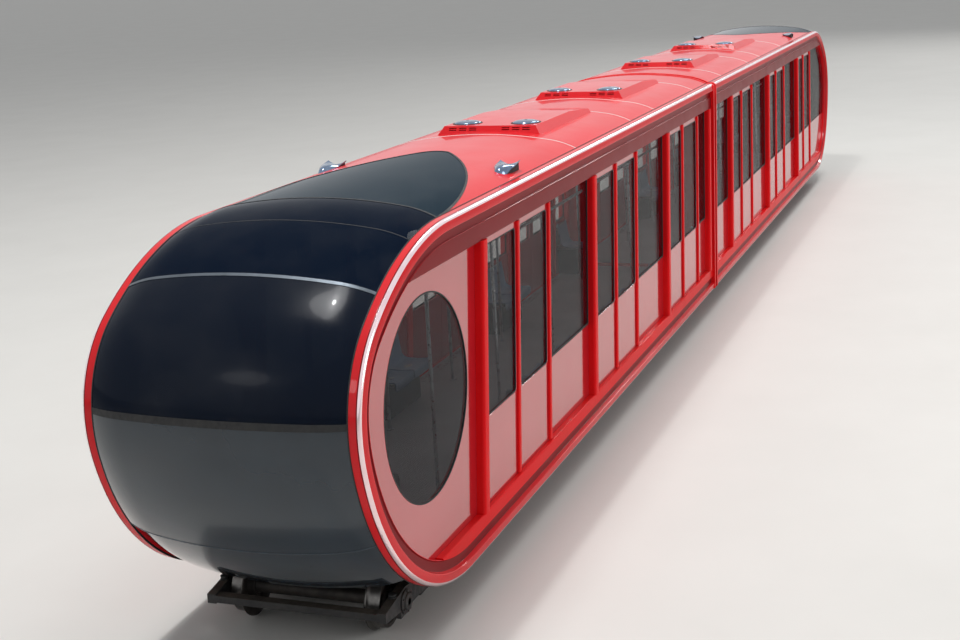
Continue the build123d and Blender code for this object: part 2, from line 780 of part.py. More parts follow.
    def gangway(self, grow):
        """Plug of the gangway's shape, through both end frames."""
        half = GANGWAY_HALF + grow
        corners = [
            (-half, LEDGE_TOP - grow),
            (half, LEDGE_TOP - grow),
            (half, GANGWAY_TOP + grow),
            (-half, GANGWAY_TOP + grow),
        ]
        plug = lengthwise(corners, -PAST_JOINT, PAST_JOINT)
        tops = plug.edges().filter_by(Axis.X).sort_by(Axis.Z)[-2:]
        return fillet(tops, GANGWAY_CORNER + grow)

    def seal(self):
        """Rubber lip that stands on the end frame round the gangway."""
        half = HALF_WIDTH - SEAL_INSET
        low = LOOP_BOTTOM + SEAL_INSET
        high = LOOP_TOP - SEAL_INSET
        corners = [(-half, low), (half, low), (half, high), (-half, high)]
        frame = lengthwise(corners, -PAST_JOINT, PAST_JOINT)
        body = frame - self.gangway(SEAL_STEP) - self.notch()
        near = self.half_gap - SEAL_THICKNESS
        far = self.half_gap
        slab = joint_slab(-far, -near) if self.lower else joint_slab(near, far)
        return body & slab

    def notch(self):
        """Room under the floor in an end frame for the articulation's tongue and fork."""
        under_floor = LEDGE_TOP - FLOOR_THICKNESS
        return block(
            -PAST_JOINT, PAST_JOINT, -HOOP_NOTCH_HALF, HOOP_NOTCH_HALF, 0, under_floor
        )

    def floor(self):
        half = HALF_WIDTH - RING_BACK - FIT
        region = loop_region(FLOOR_INSET, self.nose_end, -half, half)
        zone = block(-FAR, FAR, -half, half, LEDGE_TOP - FLOOR_THICKNESS, LEDGE_TOP)
        return self.behind_hoop(self.turned(region & zone))

    def bogies(self):
        names = ["bogie_1", "bogie_2"] if self.lower else ["bogie_3", "bogie_4"]
        return [BOGIE_CENTRES[name] for name in names]

    def underframe(self):
        top = LEDGE_TOP - FLOOR_THICKNESS
        low = top - SILL_DROP
        sign = 1 if self.lower else -1
        near, far = self.bogies()
        outer_bogie = near if self.lower else far
        nose = outer_bogie - sign * BOLSTER_HALF
        setback = self.half_gap + HOOP_THICKNESS + HOOP_CLEARANCE
        joint = leaning_x(JOINT_FOOT, top) - sign * setback
        x_from, x_to = min(nose, joint), max(nose, joint)
        outer = HALF_WIDTH - RING_BACK - SILL_CLEARANCE
        pieces = both_sides(block(x_from, x_to, outer - SILL_WIDTH, outer, low, top))
        places = [joint - sign * CROSS_WIDTH / 2, (near + far) / 2]
        for centre in (near, far):
            places += [centre - BOGIE_ROOM, centre + BOGIE_ROOM]
        for x in places:
            if x_from < x < x_to:
                half = CROSS_WIDTH / 2
                pieces.append(block(x - half, x + half, -outer, outer, top - CROSS_DEPTH, top))
        for centre in (near, far):
            low_face = top - BOLSTER_DEPTH
            pieces.append(
                block(centre - BOLSTER_HALF, centre + BOLSTER_HALF, -outer, outer, low_face, top)
            )
            pieces.append(cylinder_z(centre, 0, PIN_RADIUS, TRANSOM_LOW + PIN_SHORT, low_face))
        tip = sign * (NOSE_X + SPINE_NOSE_GAP)
        half = SPINE_HALF_WIDTH
        pieces.append(block(min(tip, nose), max(tip, nose), -half, half, top - SPINE_DEPTH, top))
        eye = cylinder_z(tip + sign * TOW_EYE_SETBACK, 0, TOW_EYE_RADIUS, low, top)
        if self.lower:
            whole = fused(pieces + self.tongue(x_to))
            bore = cylinder_z(PIVOT_X, 0, PIVOT_RADIUS + PIVOT_CLEARANCE, 0, LEDGE_TOP)
            return whole - bore - eye
        return fused(pieces + self.fork(x_from)) - eye

    def tongue(self, x_to):
        """Tongue of the downhill section, round the articulation's pivot."""
        low = FORK_MIDDLE - TONGUE_THICKNESS / 2
        high = low + TONGUE_THICKNESS
        half = TONGUE_WIDTH / 2
        return [
            block(x_to - TONGUE_ROOT, PIVOT_X, -half, half, low, high),
            cylinder_z(PIVOT_X, 0, half, low, high),
        ]

    def fork(self, x_from):
        """Fork of the uphill section, above and below the tongue, with the pivot pin."""
        half = TONGUE_WIDTH / 2
        step = TONGUE_THICKNESS / 2 + FORK_GAP
        low = FORK_MIDDLE - step - FORK_PLATE
        high = FORK_MIDDLE + step + FORK_PLATE
        pieces = []
        for base in (low, high - FORK_PLATE):
            pieces.append(block(PIVOT_X, PIVOT_X + FORK_REACH, -half, half, base, base + FORK_PLATE))
            pieces.append(cylinder_z(PIVOT_X, 0, half, base, base + FORK_PLATE))
        heel_end = max(PIVOT_X + FORK_REACH, x_from + CROSS_WIDTH)
        pieces.append(block(PIVOT_X + half + FORK_HEEL, heel_end, -half, half, low, high))
        pieces.append(cylinder_z(PIVOT_X, 0, PIVOT_RADIUS, low, high))
        return pieces

    def equipment(self):
        """Closed equipment boxes that hang from the floor between the bogies."""
        top = LEDGE_TOP - FLOOR_THICKNESS - FIT
        near, far = self.bogies()
        middle = (near + far) / 2
        reach = (far - near) / 2 - BOGIE_ROOM - CROSS_WIDTH / 2
        boxes = []
        for side, end_gap, depth in EQUIPMENT_BOXES:
            first = middle + side * (CROSS_WIDTH / 2 + EQUIPMENT_CROSS_GAP)
            last = middle + side * (reach - end_gap)
            x_from, x_to = min(first, last), max(first, last)
            shell = block(x_from, x_to, EQUIPMENT_INNER, EQUIPMENT_OUTER, top - depth, top)
            low_edges = shell.edges().filter_by(Axis.X).sort_by(Axis.Z)[:2]
            boxes += both_sides(chamfer(low_edges, EQUIPMENT_CHAMFER))
        return group(boxes)

    def pod_starts(self):
        """Where each pod's front lip stands, uphill of the post that it follows."""
        feet = self.posts[1:] if self.lower else self.posts[:2]
        return [foot + POD_OFFSET for foot in feet]

    def pods(self):
        pods = []
        under = carried_straight(under_skin_profile(), LOOP_TOP, -FAR, FAR)
        top = LOOP_TOP + SKIN_RISE + POD_TOP
        base = LOOP_TOP
        section = [
            (-POD_HALF_FOOT, base),
            (POD_HALF_FOOT, base),
            (POD_HALF_TOP, top),
            (-POD_HALF_TOP, top),
        ]
        for start in self.pod_starts():
            end = start + POD_LENGTH
            pod = lengthwise(section, start, end)
            rake = [(start - 1, base), (start - 1, top + 1), (start + POD_FRONT_RAKE, top + 1), (start, base)]
            tail = [(end + 1, top + 1), (end - POD_TAIL_RUN, top + 1), (end + 1, top - POD_TAIL_DROP)]
            pod = pod - prism_xz(rake, -HALF_WIDTH, HALF_WIDTH) - prism_xz(tail, -HALF_WIDTH, HALF_WIDTH)
            for row in range(POD_SLOT_ROWS):
                z = top - POD_SLOT_DROP + row * POD_SLOT_RISE
                for column in range(POD_SLOT_COLUMNS):
                    y = POD_HALF_TOP - POD_SLOT_INSET - column * POD_SLOT_PITCH
                    slot = block(
                        start, start + POD_SLOT_DEPTH, y - POD_SLOT_LENGTH, y, z, z + POD_SLOT_HEIGHT
                    )
                    for cut in both_sides(slot):
                        pod = pod - cut
            mouth = block(
                end - POD_MOUTH_DEPTH, end + 1, -POD_MOUTH_HALF, POD_MOUTH_HALF, base, top - POD_LID
            )
            pods.append(pod - mouth - under)
        return group(pods)

    def dome(self, x, y, z):
        """Shallow round vent cap standing on a pod."""
        radius = (DOME_RADIUS**2 + DOME_HEIGHT**2) / (2 * DOME_HEIGHT)
        ball = Pos(x, y, z + DOME_HEIGHT - radius) * Sphere(radius)
        reach = 2 * DOME_RADIUS
        return ball & block(x - reach, x + reach, y - reach, y + reach, z, z + reach)

    def roof_fittings(self):
        pieces = []
        top = LOOP_TOP + SKIN_RISE + POD_TOP
        for start in self.pod_starts():
            for y in (-DOME_Y, DOME_Y):
                pieces.append(self.dome(start + DOME_OFFSET, y, top))
        under = carried_straight(under_skin_profile(), LOOP_TOP, -FAR, FAR)
        front = NOSE_X + UNIT_FROM_NOSE - UNIT_LENGTH / 2
        back = front + UNIT_LENGTH
        high = LOOP_TOP + UNIT_HEIGHT
        outline = [
            (front, LOOP_TOP),
            (back, LOOP_TOP),
            (back, high - UNIT_BACK_DROP),
            (front + UNIT_LENGTH / 3, high),
            (front, high - UNIT_FRONT_DROP),
        ]
        unit = prism_xz(outline, UNIT_Y - UNIT_WIDTH / 2, UNIT_Y + UNIT_WIDTH / 2) - under
        pieces += both_sides(self.turned(unit))
        return group(pieces)

    def seats(self):
        benches = []
        inner = HALF_WIDTH - RING_BACK - FIT
        for foot in self.posts:
            x = foot + BENCH_START
            length = BENCH_LENGTH
            if self.lower and foot == self.posts[-1]:
                length = JOINT_POST - POST_WIDTH / 2 - BENCH_JOINT_GAP - x
            end = x + length
            base = LEDGE_TOP + FIT
            high = base + BENCH_HEIGHT
            under = high - BENCH_CUSHION
            seat = block(x, end, inner - BENCH_DEPTH, inner, under, high)
            rest = block(x, end, inner - BENCH_REST, inner, high, base + BENCH_BACK)
            plinth = block(
                x + BENCH_TOE, end - BENCH_TOE, inner - BENCH_DEPTH + 2 * BENCH_TOE, inner, base, under
            )
            benches += both_sides(seat + rest + plinth)
        return group(benches)

    def desk(self):
        region = loop_region(FLOOR_INSET, self.nose_end, -DESK_HALF, DESK_HALF)
        base = LEDGE_TOP + FIT
        x_back = NOSE_X + DESK_BACK
        outline = [
            (NOSE_X, base),
            (x_back, base),
            (x_back - DESK_HEEL, DESK_HEIGHT - DESK_TOP_SLOPE),
            (x_back - DESK_TOP_DEPTH, DESK_HEIGHT),
            (NOSE_X, DESK_HEIGHT),
        ]
        return self.turned(region & prism_xz(outline, -DESK_HALF, DESK_HALF))


def wheel(side):
    """Flanged wheel on the +Y or -Y side, drawn round the axle at the origin."""
    inner = GAUGE / 2 - FLANGE_PLAY - FLANGE_WIDTH
    outer = inner + WHEEL_WIDTH
    flange = TREAD_RADIUS + FLANGE_DEPTH
    rim = TREAD_RADIUS - RIM_THICKNESS
    hub = HUB_RADIUS + HUB_TAPER
    web_in = inner + WHEEL_WIDTH / 2 - WEB_THICKNESS / 2
    web_out = web_in + WEB_THICKNESS
    outline = [
        (inner - HUB_OVERHANG, JOURNAL_RADIUS),
        (inner - HUB_OVERHANG, HUB_RADIUS),
        (web_in, hub),
        (web_in, rim),
        (inner, rim),
        (inner, flange - FLANGE_ROUND),
        (inner + FLANGE_ROUND, flange),
        (inner + 3 * FLANGE_ROUND, flange),
        (inner + FLANGE_WIDTH, TREAD_RADIUS + TREAD_CONE),
        (inner + FLANGE_WIDTH + 2 * FLANGE_ROUND, TREAD_RADIUS),
        (outer - FLANGE_ROUND, TREAD_RADIUS - TREAD_CONE),
        (outer, TREAD_RADIUS - TREAD_CONE - FLANGE_ROUND),
        (outer, rim),
        (web_out, rim),
        (web_out, hub),
        (outer - HUB_TAPER, HUB_RADIUS),
        (outer - HUB_TAPER, JOURNAL_RADIUS),
    ]
    face = Face(Wire.make_polygon([(0, side * y, r) for y, r in outline], close=True))
    return revolve(face, Axis.Y, 360)


def wheelset(x):
    """Axle with its two wheels."""
    reach = FRAME_Y + FRAME_WIDTH / 2
    inner = GAUGE / 2 - FLANGE_PLAY - FLANGE_WIDTH
    body = cylinder_y(0, 0, AXLE_RADIUS, -inner, inner)
    journal = cylinder_y(0, 0, JOURNAL_RADIUS, -reach, reach)
    whole = body + journal + wheel(1) + wheel(-1)
    return Pos(x, 0, AXLE_Z) * whole


def bogie_frame(x):
    """H-shaped frame with its axle boxes, pivot bore, side bearers and rail brakes."""
    half = WHEELBASE / 2
    inner = FRAME_Y - FRAME_WIDTH / 2
    outer = FRAME_Y + FRAME_WIDTH / 2
    span = FRAME_HALF_LENGTH
    outline = [
        (-span, FRAME_LOW + FRAME_TIP_RISE),
        (-half - BOX_HALF, FRAME_LOW + FRAME_BOX_RISE),
        (-half - BOX_HALF, BOX_LOW),
        (-half + BOX_HALF, BOX_LOW),
        (-half + BOX_HALF, FRAME_LOW),
        (half - BOX_HALF, FRAME_LOW),
        (half - BOX_HALF, BOX_LOW),
        (half + BOX_HALF, BOX_LOW),
        (half + BOX_HALF, FRAME_LOW + FRAME_BOX_RISE),
        (span, FRAME_LOW + FRAME_TIP_RISE),
        (span, FRAME_HIGH - FRAME_CROWN),
        (half, FRAME_HIGH + FRAME_CROWN),
        (half - FRAME_WAIST, FRAME_HIGH),
        (-half + FRAME_WAIST, FRAME_HIGH),
        (-half, FRAME_HIGH + FRAME_CROWN),
        (-span, FRAME_HIGH - FRAME_CROWN),
    ]
    pieces = both_sides(prism_xz(outline, inner, outer))
    pieces.append(block(-TRANSOM_HALF, TRANSOM_HALF, -inner, inner, TRANSOM_LOW, TRANSOM_HIGH))
    for side in (-1, 1):
        end = side * (span - END_BEAM_WIDTH / 2)
        beam = END_BEAM_WIDTH / 2
        pieces.append(block(end - beam, end + beam, -inner, inner, END_BEAM_LOW, END_BEAM_HIGH))
        bearer_top = LEDGE_TOP - FLOOR_THICKNESS - BOLSTER_DEPTH - BEARER_GAP
        pieces.append(cylinder_z(0, side * FRAME_Y, BEARER_RADIUS, TRANSOM_LOW, bearer_top))
        middle = side * BRAKE_Y
        half = BRAKE_WIDTH / 2
        brake = block(-BRAKE_HALF, BRAKE_HALF, middle - half, middle + half, BRAKE_LOW, TRANSOM_HIGH)
        half = BRAKE_SLOT / 2
        slot = block(-BRAKE_HALF, BRAKE_HALF, middle - half, middle + half, BRAKE_LOW, BRAKE_SLOT_TOP)
        pieces.append(brake - slot)
    frame = fused(pieces)
    frame = frame - cylinder_z(0, 0, PIN_RADIUS + PIN_CLEARANCE, 0, LEDGE_TOP)
    bore = JOURNAL_RADIUS + JOURNAL_CLEARANCE
    half = WHEELBASE / 2
    for axle in (-half, half):
        frame = frame - cylinder_y(axle, AXLE_Z, bore, -outer, outer)
    return Pos(x, 0, 0) * frame


def rope_socket():
    """Forked lug under the uphill end for the haul rope's socket pin."""
    top = LEDGE_TOP - FLOOR_THICKNESS - FIT
    low = SOCKET_MIDDLE - SOCKET_DROP
    inner = SOCKET_SLOT / 2
    outer = inner + SOCKET_PLATE
    end = SOCKET_X + SOCKET_LENGTH
    plates = both_sides(block(SOCKET_X, end, inner, outer, low, top))
    plates.append(block(SOCKET_X, SOCKET_X + SOCKET_HEEL, -outer, outer, low, top))
    lug = fused(plates)
    return lug - cylinder_y(end - SOCKET_PIN_SETBACK, SOCKET_MIDDLE, SOCKET_BORE, -outer, outer)


def main():
    nodes = {}
    for name in ("lower", "upper"):
        section = Section(name)
        makers = {
            "loops": section.loops,
            "side_frames": section.side_frame,
            "side_panels": section.side_panels,
            "side_glass": section.side_glass,
            "doors": section.doors,
            "door_glass": section.door_glass,
            "roof": section.roof,
            "roof_pods": section.pods,
            "roof_fittings": section.roof_fittings,
            "roof_glass": section.roof_glass,
            "windscreen": section.windscreen,
            "nose_fairing": section.nose_fairing,
            "end_hoop": section.hoop,
            "gangway_seal": section.seal,
            "floor": section.floor,
            "underframe": section.underframe,
            "equipment": section.equipment,
            "seats": section.seats,
            "desk": section.desk,
        }
        for part, maker in makers.items():
            nodes[f"{name}_{part}"] = maker()
    for index, (name, x) in enumerate(BOGIE_CENTRES.items()):
        nodes[f"{name}_frame"] = bogie_frame(x)
        for offset, side in ((-WHEELBASE / 2, 1), (WHEELBASE / 2, 2)):
            nodes[f"wheelset_{2 * index + side}"] = wheelset(x + offset)
    nodes["rope_socket"] = rope_socket()

    os.makedirs("parts", exist_ok=True)
    for name, shape in nodes.items():
        export_step(solid_of(shape), f"parts/{name}.step")


main()
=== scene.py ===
"""Looks of the articulated funicular car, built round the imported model.

Metres, in the model's frame: X uphill along the rails, Y across, Z square to the rails. Every shape
of a body section is worked out with its nose at the downhill end, and mirrored in X for the upper one.
"""

import json
import math

import bmesh
import bpy
from mathutils import Matrix, Vector

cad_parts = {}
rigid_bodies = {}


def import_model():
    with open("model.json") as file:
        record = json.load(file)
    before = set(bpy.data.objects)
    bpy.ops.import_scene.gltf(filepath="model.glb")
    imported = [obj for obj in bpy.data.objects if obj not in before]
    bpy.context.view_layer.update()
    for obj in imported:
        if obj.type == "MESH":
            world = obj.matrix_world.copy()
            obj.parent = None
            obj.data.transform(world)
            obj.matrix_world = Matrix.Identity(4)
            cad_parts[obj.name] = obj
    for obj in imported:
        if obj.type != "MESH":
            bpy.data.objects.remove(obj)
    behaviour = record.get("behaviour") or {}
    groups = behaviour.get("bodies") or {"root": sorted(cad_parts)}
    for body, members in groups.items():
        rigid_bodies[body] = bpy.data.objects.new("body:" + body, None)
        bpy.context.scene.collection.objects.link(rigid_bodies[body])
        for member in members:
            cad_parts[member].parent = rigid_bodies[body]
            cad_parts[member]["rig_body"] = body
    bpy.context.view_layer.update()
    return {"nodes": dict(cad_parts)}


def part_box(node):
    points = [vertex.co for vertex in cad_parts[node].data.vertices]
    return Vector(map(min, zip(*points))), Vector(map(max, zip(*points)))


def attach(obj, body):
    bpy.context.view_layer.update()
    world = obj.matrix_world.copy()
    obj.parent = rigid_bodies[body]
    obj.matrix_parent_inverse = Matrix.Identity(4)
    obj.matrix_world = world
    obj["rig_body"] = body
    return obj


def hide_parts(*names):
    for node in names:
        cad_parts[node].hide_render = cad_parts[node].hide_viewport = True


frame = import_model()

# Sizes read from the frame
RING_LOW, RING_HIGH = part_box("lower_loops")
NOSE_X = RING_LOW.x
RING_BOTTOM = RING_LOW.z
RING_TOP = RING_HIGH.z
HALF = RING_HIGH.y
LEDGE_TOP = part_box("lower_floor")[1].z
SKIN_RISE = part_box("lower_roof")[1].z - RING_TOP

# The ring's long line
NOSE_HEIGHT = 2.13
TOP_BLEND = 1.9
BOTTOM_BLEND = 2.0
UPPER_NOSE = 0.9
LOWER_NOSE = 1.15
LEAN = math.radians(7.5)
JOINT_FOOT = -0.47
HOOP_BACK = 0.11
STEP = 1.5

# The ring's section
SEAT = HALF - 0.11
RING_BACK = 0.15
INNER_Y = HALF - RING_BACK
TOP_EDGE = 0.065
SHOULDER_SIDE = 0.016
SHOULDER_RADIUS_OUT = 0.036
SHOULDER_STEPS = 5
WIDEST_DROP = 0.1
GROOVE_DEPTH = 0.05
GROOVE_RAMP = 0.014
RING_DEPTH = 0.205
RING_INSET = 0.03
RING_WALL = 0.06

# Roof and nose skin
CROWN_RADIUS = 5.0
CROWN_HALF = 0.79
ROOF_THICKNESS = 0.045
GLASS_THICKNESS = 0.012
FAIRING_THICKNESS = 0.02
WINDSCREEN_TOP = 3.03
WINDSCREEN_FOOT = 2.2
LIP_HEIGHT = 1.17
BUMPER_FOOT = 0.65
LIP_STEP = 0.035
LIP_WEB = 0.02
ROOF_GLASS_LENGTH = 2.69
ROOF_GLASS_RADIUS = 0.2
ROOF_GLASS_SETBACK = 0.2
ROOF_GLASS_SPILL = 0.01

# Side
HEADER_BOTTOM = 3.01
SILL = 1.42
POST_WIDTH = 0.13
POST_OUT = 0.015
HEADER_OUT = 0.035
LEDGE_OUT = 0.03
JAMB_OUT = 0.077
JAMB_WIDTH = 0.04
PANEL_OUT = 0.095
PANEL_THICKNESS = 0.035
GLASS_OUT = 0.1
DOOR_OUT = 0.07
DOOR_THICKNESS = 0.04
DOOR_GAP = 0.006
DOOR_END = 1.99
LEAF_SPLIT = 1.045
FRONT_STILE = 0.035
REAR_STILE = 0.1
TOP_STILE = 0.06
DOOR_HEAD_GAP = 0.008
DOOR_CORNER = 0.04
GASKET = 0.012
BAR_START = 0.02
BAR_WIDTH = 0.068
BAR_OUT = 0.048
EDGE_RUBBER = 0.006
SEAL_WIDTH = 0.02
SEAL_RISE = 0.014
SEAL_DROP = 0.008
SEAL_DEPTH = 0.012
SEAL_CORNER = 0.03
EYE_SEAL = 0.006
BAY_PITCH = 3.485
EYE_X = NOSE_X + 1.44
EYE_HEIGHT = 1.985
EYE_HALF_LENGTH = 0.86
EYE_HALF_HEIGHT = 0.845
EYE_STEPS = 96
FIT = 0.0003

# Bays: ledge-line places of the posts' feet, as in the model
LOWER_POSTS = [NOSE_X + 2.41 + BAY_PITCH * bay for bay in range(3)]
UPPER_POSTS = [JOINT_FOOT + 1.495 + BAY_PITCH * bay for bay in range(3)]
JOINT_POST = JOINT_FOOT - 0.25

# Roof pods and units
POD_OFFSET = 0.105
POD_TOP = RING_TOP + SKIN_RISE + 0.06
DOME_OFFSET = 0.37
DOME_Y = 0.35
DOME_RADIUS = 0.15
DOME_HEIGHT = 0.034
DOME_LIP = 0.004
DOME_STEPS = 8
ROOF_SEAMS = (-0.16, 2.15)
UNIT_FROM_NOSE = 3.98
UNIT_Y = 0.93
UNIT_LENGTH = 0.38
UNIT_WIDTH = 0.2
UNIT_HEIGHT = 0.175
UNIT_STEPS = 14
UNIT_SPAN = 16

# Hood of a roof unit: shares of its width and length, and heights over the ring
TIP_WIDTH = 0.35
SPREAD_END = 0.55
SNOUT_END = 0.4
SNOUT_FOOT = 0.062
SNOUT_RISE = 0.062
BACK_FALL = 0.05
FIN_START = 0.2
FIN_RISE = 0.105
SIDE_FALL = 0.05
TIP_FALL = 0.02
CORE_DROP = 0.016
CORE_DEPTH = 0.09
HOOD_THICKNESS = 0.012

# Running gear
AXLE_Z = 0.26
GAUGE = 1.2
FRAME_Y = 0.78
FRAME_OUTER = 0.82
WHEELBASE = 1.6
BOGIES = {"bogie_1": -10.6, "bogie_2": -3.3, "bogie_3": 3.3, "bogie_4": 10.6}
BOGIE_PIN_RADIUS = 0.07
PIVOT_X = -0.48
PIVOT_RADIUS = 0.05
PIN_SLIMMER = 0.0012
PIN_MATCH = 2e-4
COVER_BOLTS = 0.084
BRAKE_X = 0.24
BRAKE_Y = 0.63
BRAKE_Z = 0.3
WHEEL_BOLTS = 0.14
TREAD_EDGE = 0.224
WHEEL_INSET = 0.042
WHEEL_WIDTH = 0.13
BUFFER_OFFSET = 0.16
BUFFER_FOOT = 0.372
PAD_FOOT = 0.385
FRAME_BOLT_START = -0.3
FRAME_BOLT_PITCH = 0.15
FRAME_BOLT_ROWS = (0.225, 0.318)
LID_PITCH = 0.62
LID_MARGIN = 0.03
LID_GAP = 0.02
LID_FOOT = 0.045
LID_OUT = 0.006
LID_BOLT_INSET = 0.03
PIPES_FROM_NOSE = 1.5
PIPES_TO_JOINT = 0.3
CLAMP_START = 0.4
CLAMP_PITCH = 1.1
CLAMP_TOP = 0.561

# Interior
RAIL_Y = 0.62
RAIL_Z = 2.62
RAIL_RADIUS = 0.016
RAILS_FROM_NOSE = 5.2
RAILS_TO_JOINT = 0.35
STANCHION_RADIUS = 0.017
STANCHION_PLACES = (0.22, 1.92)
TREAD_PLACES = (0.06, 0.11)
TREAD_WIDTH = 0.036
DOOR_SILL = (0.098, 0.034)
DESK_FRONT = 1.24
DESK_EDGE_Z = 1.43
DESK_SLOPE = math.atan2(0.16, 0.3)
KNOB_ROWS = (0.08, 0.13, 0.18)
KNOB_START = 0.22
KNOB_PITCH = 0.055
KNOB_COLUMNS = 6
SCREEN_PLACES = (-0.42, -0.05)
SCREEN_HALF = 0.14
LEVER_PLACE = (0.14, -0.64)
BENCH_START = 2.12
BENCH_LENGTH = 1.0
SEAT_HEIGHT = 0.43
SEAT_DEPTH = 0.43
BACK_TOP = 0.76
BACK_PLATE = (0.44, 0.74)
PLINTH_DEPTH = 0.31
PLINTH_INSET = 0.06
TRAY_DEPTH = 0.4
TRAY_INSET = 0.02
SHELL_THICKNESS = 0.008
SHELL_GAP = 0.012
SHELL_DISH = 0.014
SHELL_EDGE = 0.01
SHELL_STEPS = 8


def polar(radius, angle):
    """Across and up of a point at this angle in radians."""
    return radius * math.cos(angle), radius * math.sin(angle)


def leaning(foot, z):
    """X at a height of a line that stands at foot on the ledge and leans uphill."""
    return foot + (z - LEDGE_TOP) * math.tan(LEAN)


def blend_radius(run, drop, nose):
    """Radius of the long arc that joins a straight run to the nose arc."""
    return ((run - nose) ** 2 + drop**2 - nose**2) / (2 * (drop - nose))


UPPER_DROP = RING_TOP - NOSE_HEIGHT
LOWER_DROP = NOSE_HEIGHT - RING_BOTTOM
TOP_RADIUS = blend_radius(TOP_BLEND, UPPER_DROP, UPPER_NOSE)
BOTTOM_RADIUS = blend_radius(BOTTOM_BLEND, LOWER_DROP, LOWER_NOSE)
UPPER_TURN = math.degrees(math.atan((TOP_BLEND - UPPER_NOSE) / (TOP_RADIUS - UPPER_DROP)))
LOWER_TURN = math.degrees(math.atan((BOTTOM_BLEND - LOWER_NOSE) / (BOTTOM_RADIUS - LOWER_DROP)))

# Nose arcs from the top: centre x, centre z, radius, start angle, end angle
NOSE_ARCS = [
    (NOSE_X + TOP_BLEND, RING_TOP - TOP_RADIUS, TOP_RADIUS, 90, 90 + UPPER_TURN),
    (NOSE_X + UPPER_NOSE, NOSE_HEIGHT, UPPER_NOSE, 90 + UPPER_TURN, 180),
    (NOSE_X + LOWER_NOSE, NOSE_HEIGHT, LOWER_NOSE, 180, 270 - LOWER_TURN),
    (NOSE_X + BOTTOM_BLEND, RING_BOTTOM + BOTTOM_RADIUS, BOTTOM_RADIUS, 270 - LOWER_TURN, 270),
]

CROWN_ANGLE = math.asin(CROWN_HALF / CROWN_RADIUS)
SHOULDER_FALL = SKIN_RISE - CROWN_RADIUS * (1 - math.cos(CROWN_ANGLE))
EDGE_ANGLE = 2 * math.atan(SHOULDER_FALL / (SEAT - CROWN_HALF)) - CROWN_ANGLE
SHOULDER_RADIUS = (SEAT - CROWN_HALF) / (math.sin(EDGE_ANGLE) - math.sin(CROWN_ANGLE))


def skin_at(y, depth=0.0):
    """Across and outwards place on the roof's section above the width y, moved inwards by depth."""
    side = -1 if y < 0 else 1
    y = abs(y)
    if y <= CROWN_HALF:
        angle = math.asin(y / CROWN_RADIUS)
        across, up = polar(CROWN_RADIUS - depth, math.pi / 2 - angle)
        return side * across, SKIN_RISE - CROWN_RADIUS + up
    middle, height = polar(CROWN_RADIUS - SHOULDER_RADIUS, math.pi / 2 - CROWN_ANGLE)
    angle = math.asin(min(1.0, (y - middle) / SHOULDER_RADIUS))
    across, up = polar(SHOULDER_RADIUS - depth, math.pi / 2 - angle)
    return side * (middle + across), SKIN_RISE - CROWN_RADIUS + height + up


def arc_at(angle):
    """The nose arc that holds an angle."""
    for arc in NOSE_ARCS:
        if angle <= arc[4] + 1e-6:
            return arc
    return NOSE_ARCS[-1]


def angle_at(height):
    """Angle round the nose where the ring's line passes a height."""
    for x, z, radius, start, stop in NOSE_ARCS:
        top = z + radius * math.sin(math.radians(start))
        foot = z + radius * math.sin(math.radians(stop))
        if foot <= height <= top:
            return 180 - math.degrees(math.asin((height - z) / radius))
    raise ValueError("height is not on the nose")


def seam_angle(angle, gap):
    """Angle that a length along the nose takes up at an angle."""
    return math.degrees(gap / arc_at(angle)[2])


def station(angle):
    """Place and outward direction of the ring's line at an angle: x, z, nx, nz."""
    x, z, radius = arc_at(angle)[:3]
    across, up = polar(1.0, math.radians(angle))
    return x + radius * across, z + radius * up, across, up


def stations(start, stop, step=STEP):
    """Stations along the nose between two angles."""
    places = []
    for arc in NOSE_ARCS:
        low, high = max(start, arc[3]), min(stop, arc[4])
        if high - low < 1e-4:
            continue
        count = max(1, math.ceil((high - low) / step))
        for index in range(0 if not places else 1, count + 1):
            places.append(station(low + (high - low) * index / count))
    return places


def rounded(corners, steps=4):
    """Outline with its corners rounded. Each corner is (a, b, radius)."""
    points = []
    for index, (a, b, radius) in enumerate(corners):
        if radius <= 0:
            points.append((a, b))
            continue
        here = Vector((a, b))
        before = (Vector(corners[index - 1][:2]) - here).normalized()
        after = (Vector(corners[(index + 1) % len(corners)][:2]) - here).normalized()
        half = before.angle(after) / 2
        run = radius / math.tan(half)
        centre = here + (before + after).normalized() * (radius / math.sin(half))
        start, end = here + before * run - centre, here + after * run - centre
        for step in range(steps + 1):
            points.append(tuple(centre + start.slerp(end, step / steps).normalized() * radius))
    return points


def rectangle(a0, a1, b0, b1, near=0.0, far=None, steps=4):
    """Outline of a rectangle, with the corner radii near at b0 and far at b1."""
    far = near if far is None else far
    return rounded([(a0, b0, near), (a1, b0, near), (a1, b1, far), (a0, b1, far)], steps)


def facing(side, flip=1):
    """Place of a point (x, z) of a plate that faces one side, at a width y."""
    return lambda x, z, y: (flip * x, side * y, z)


def lying(side):
    """Place of a point (x, y) of a flat plate on one side, at a height z."""
    return lambda x, y, z: (x, side * y, z)


def leaning_face(side):
    """Place of a point (foot, z) of a leaning plate on one side, at a width y."""
    return lambda foot, z, y: (leaning(foot, z), side * y, z)


def leaning_bar(side):
    """Place of a point (foot, y) of a leaning bar's plan on one side, at a height z."""
    return lambda foot, y, z: (leaning(foot, z), side * y, z)


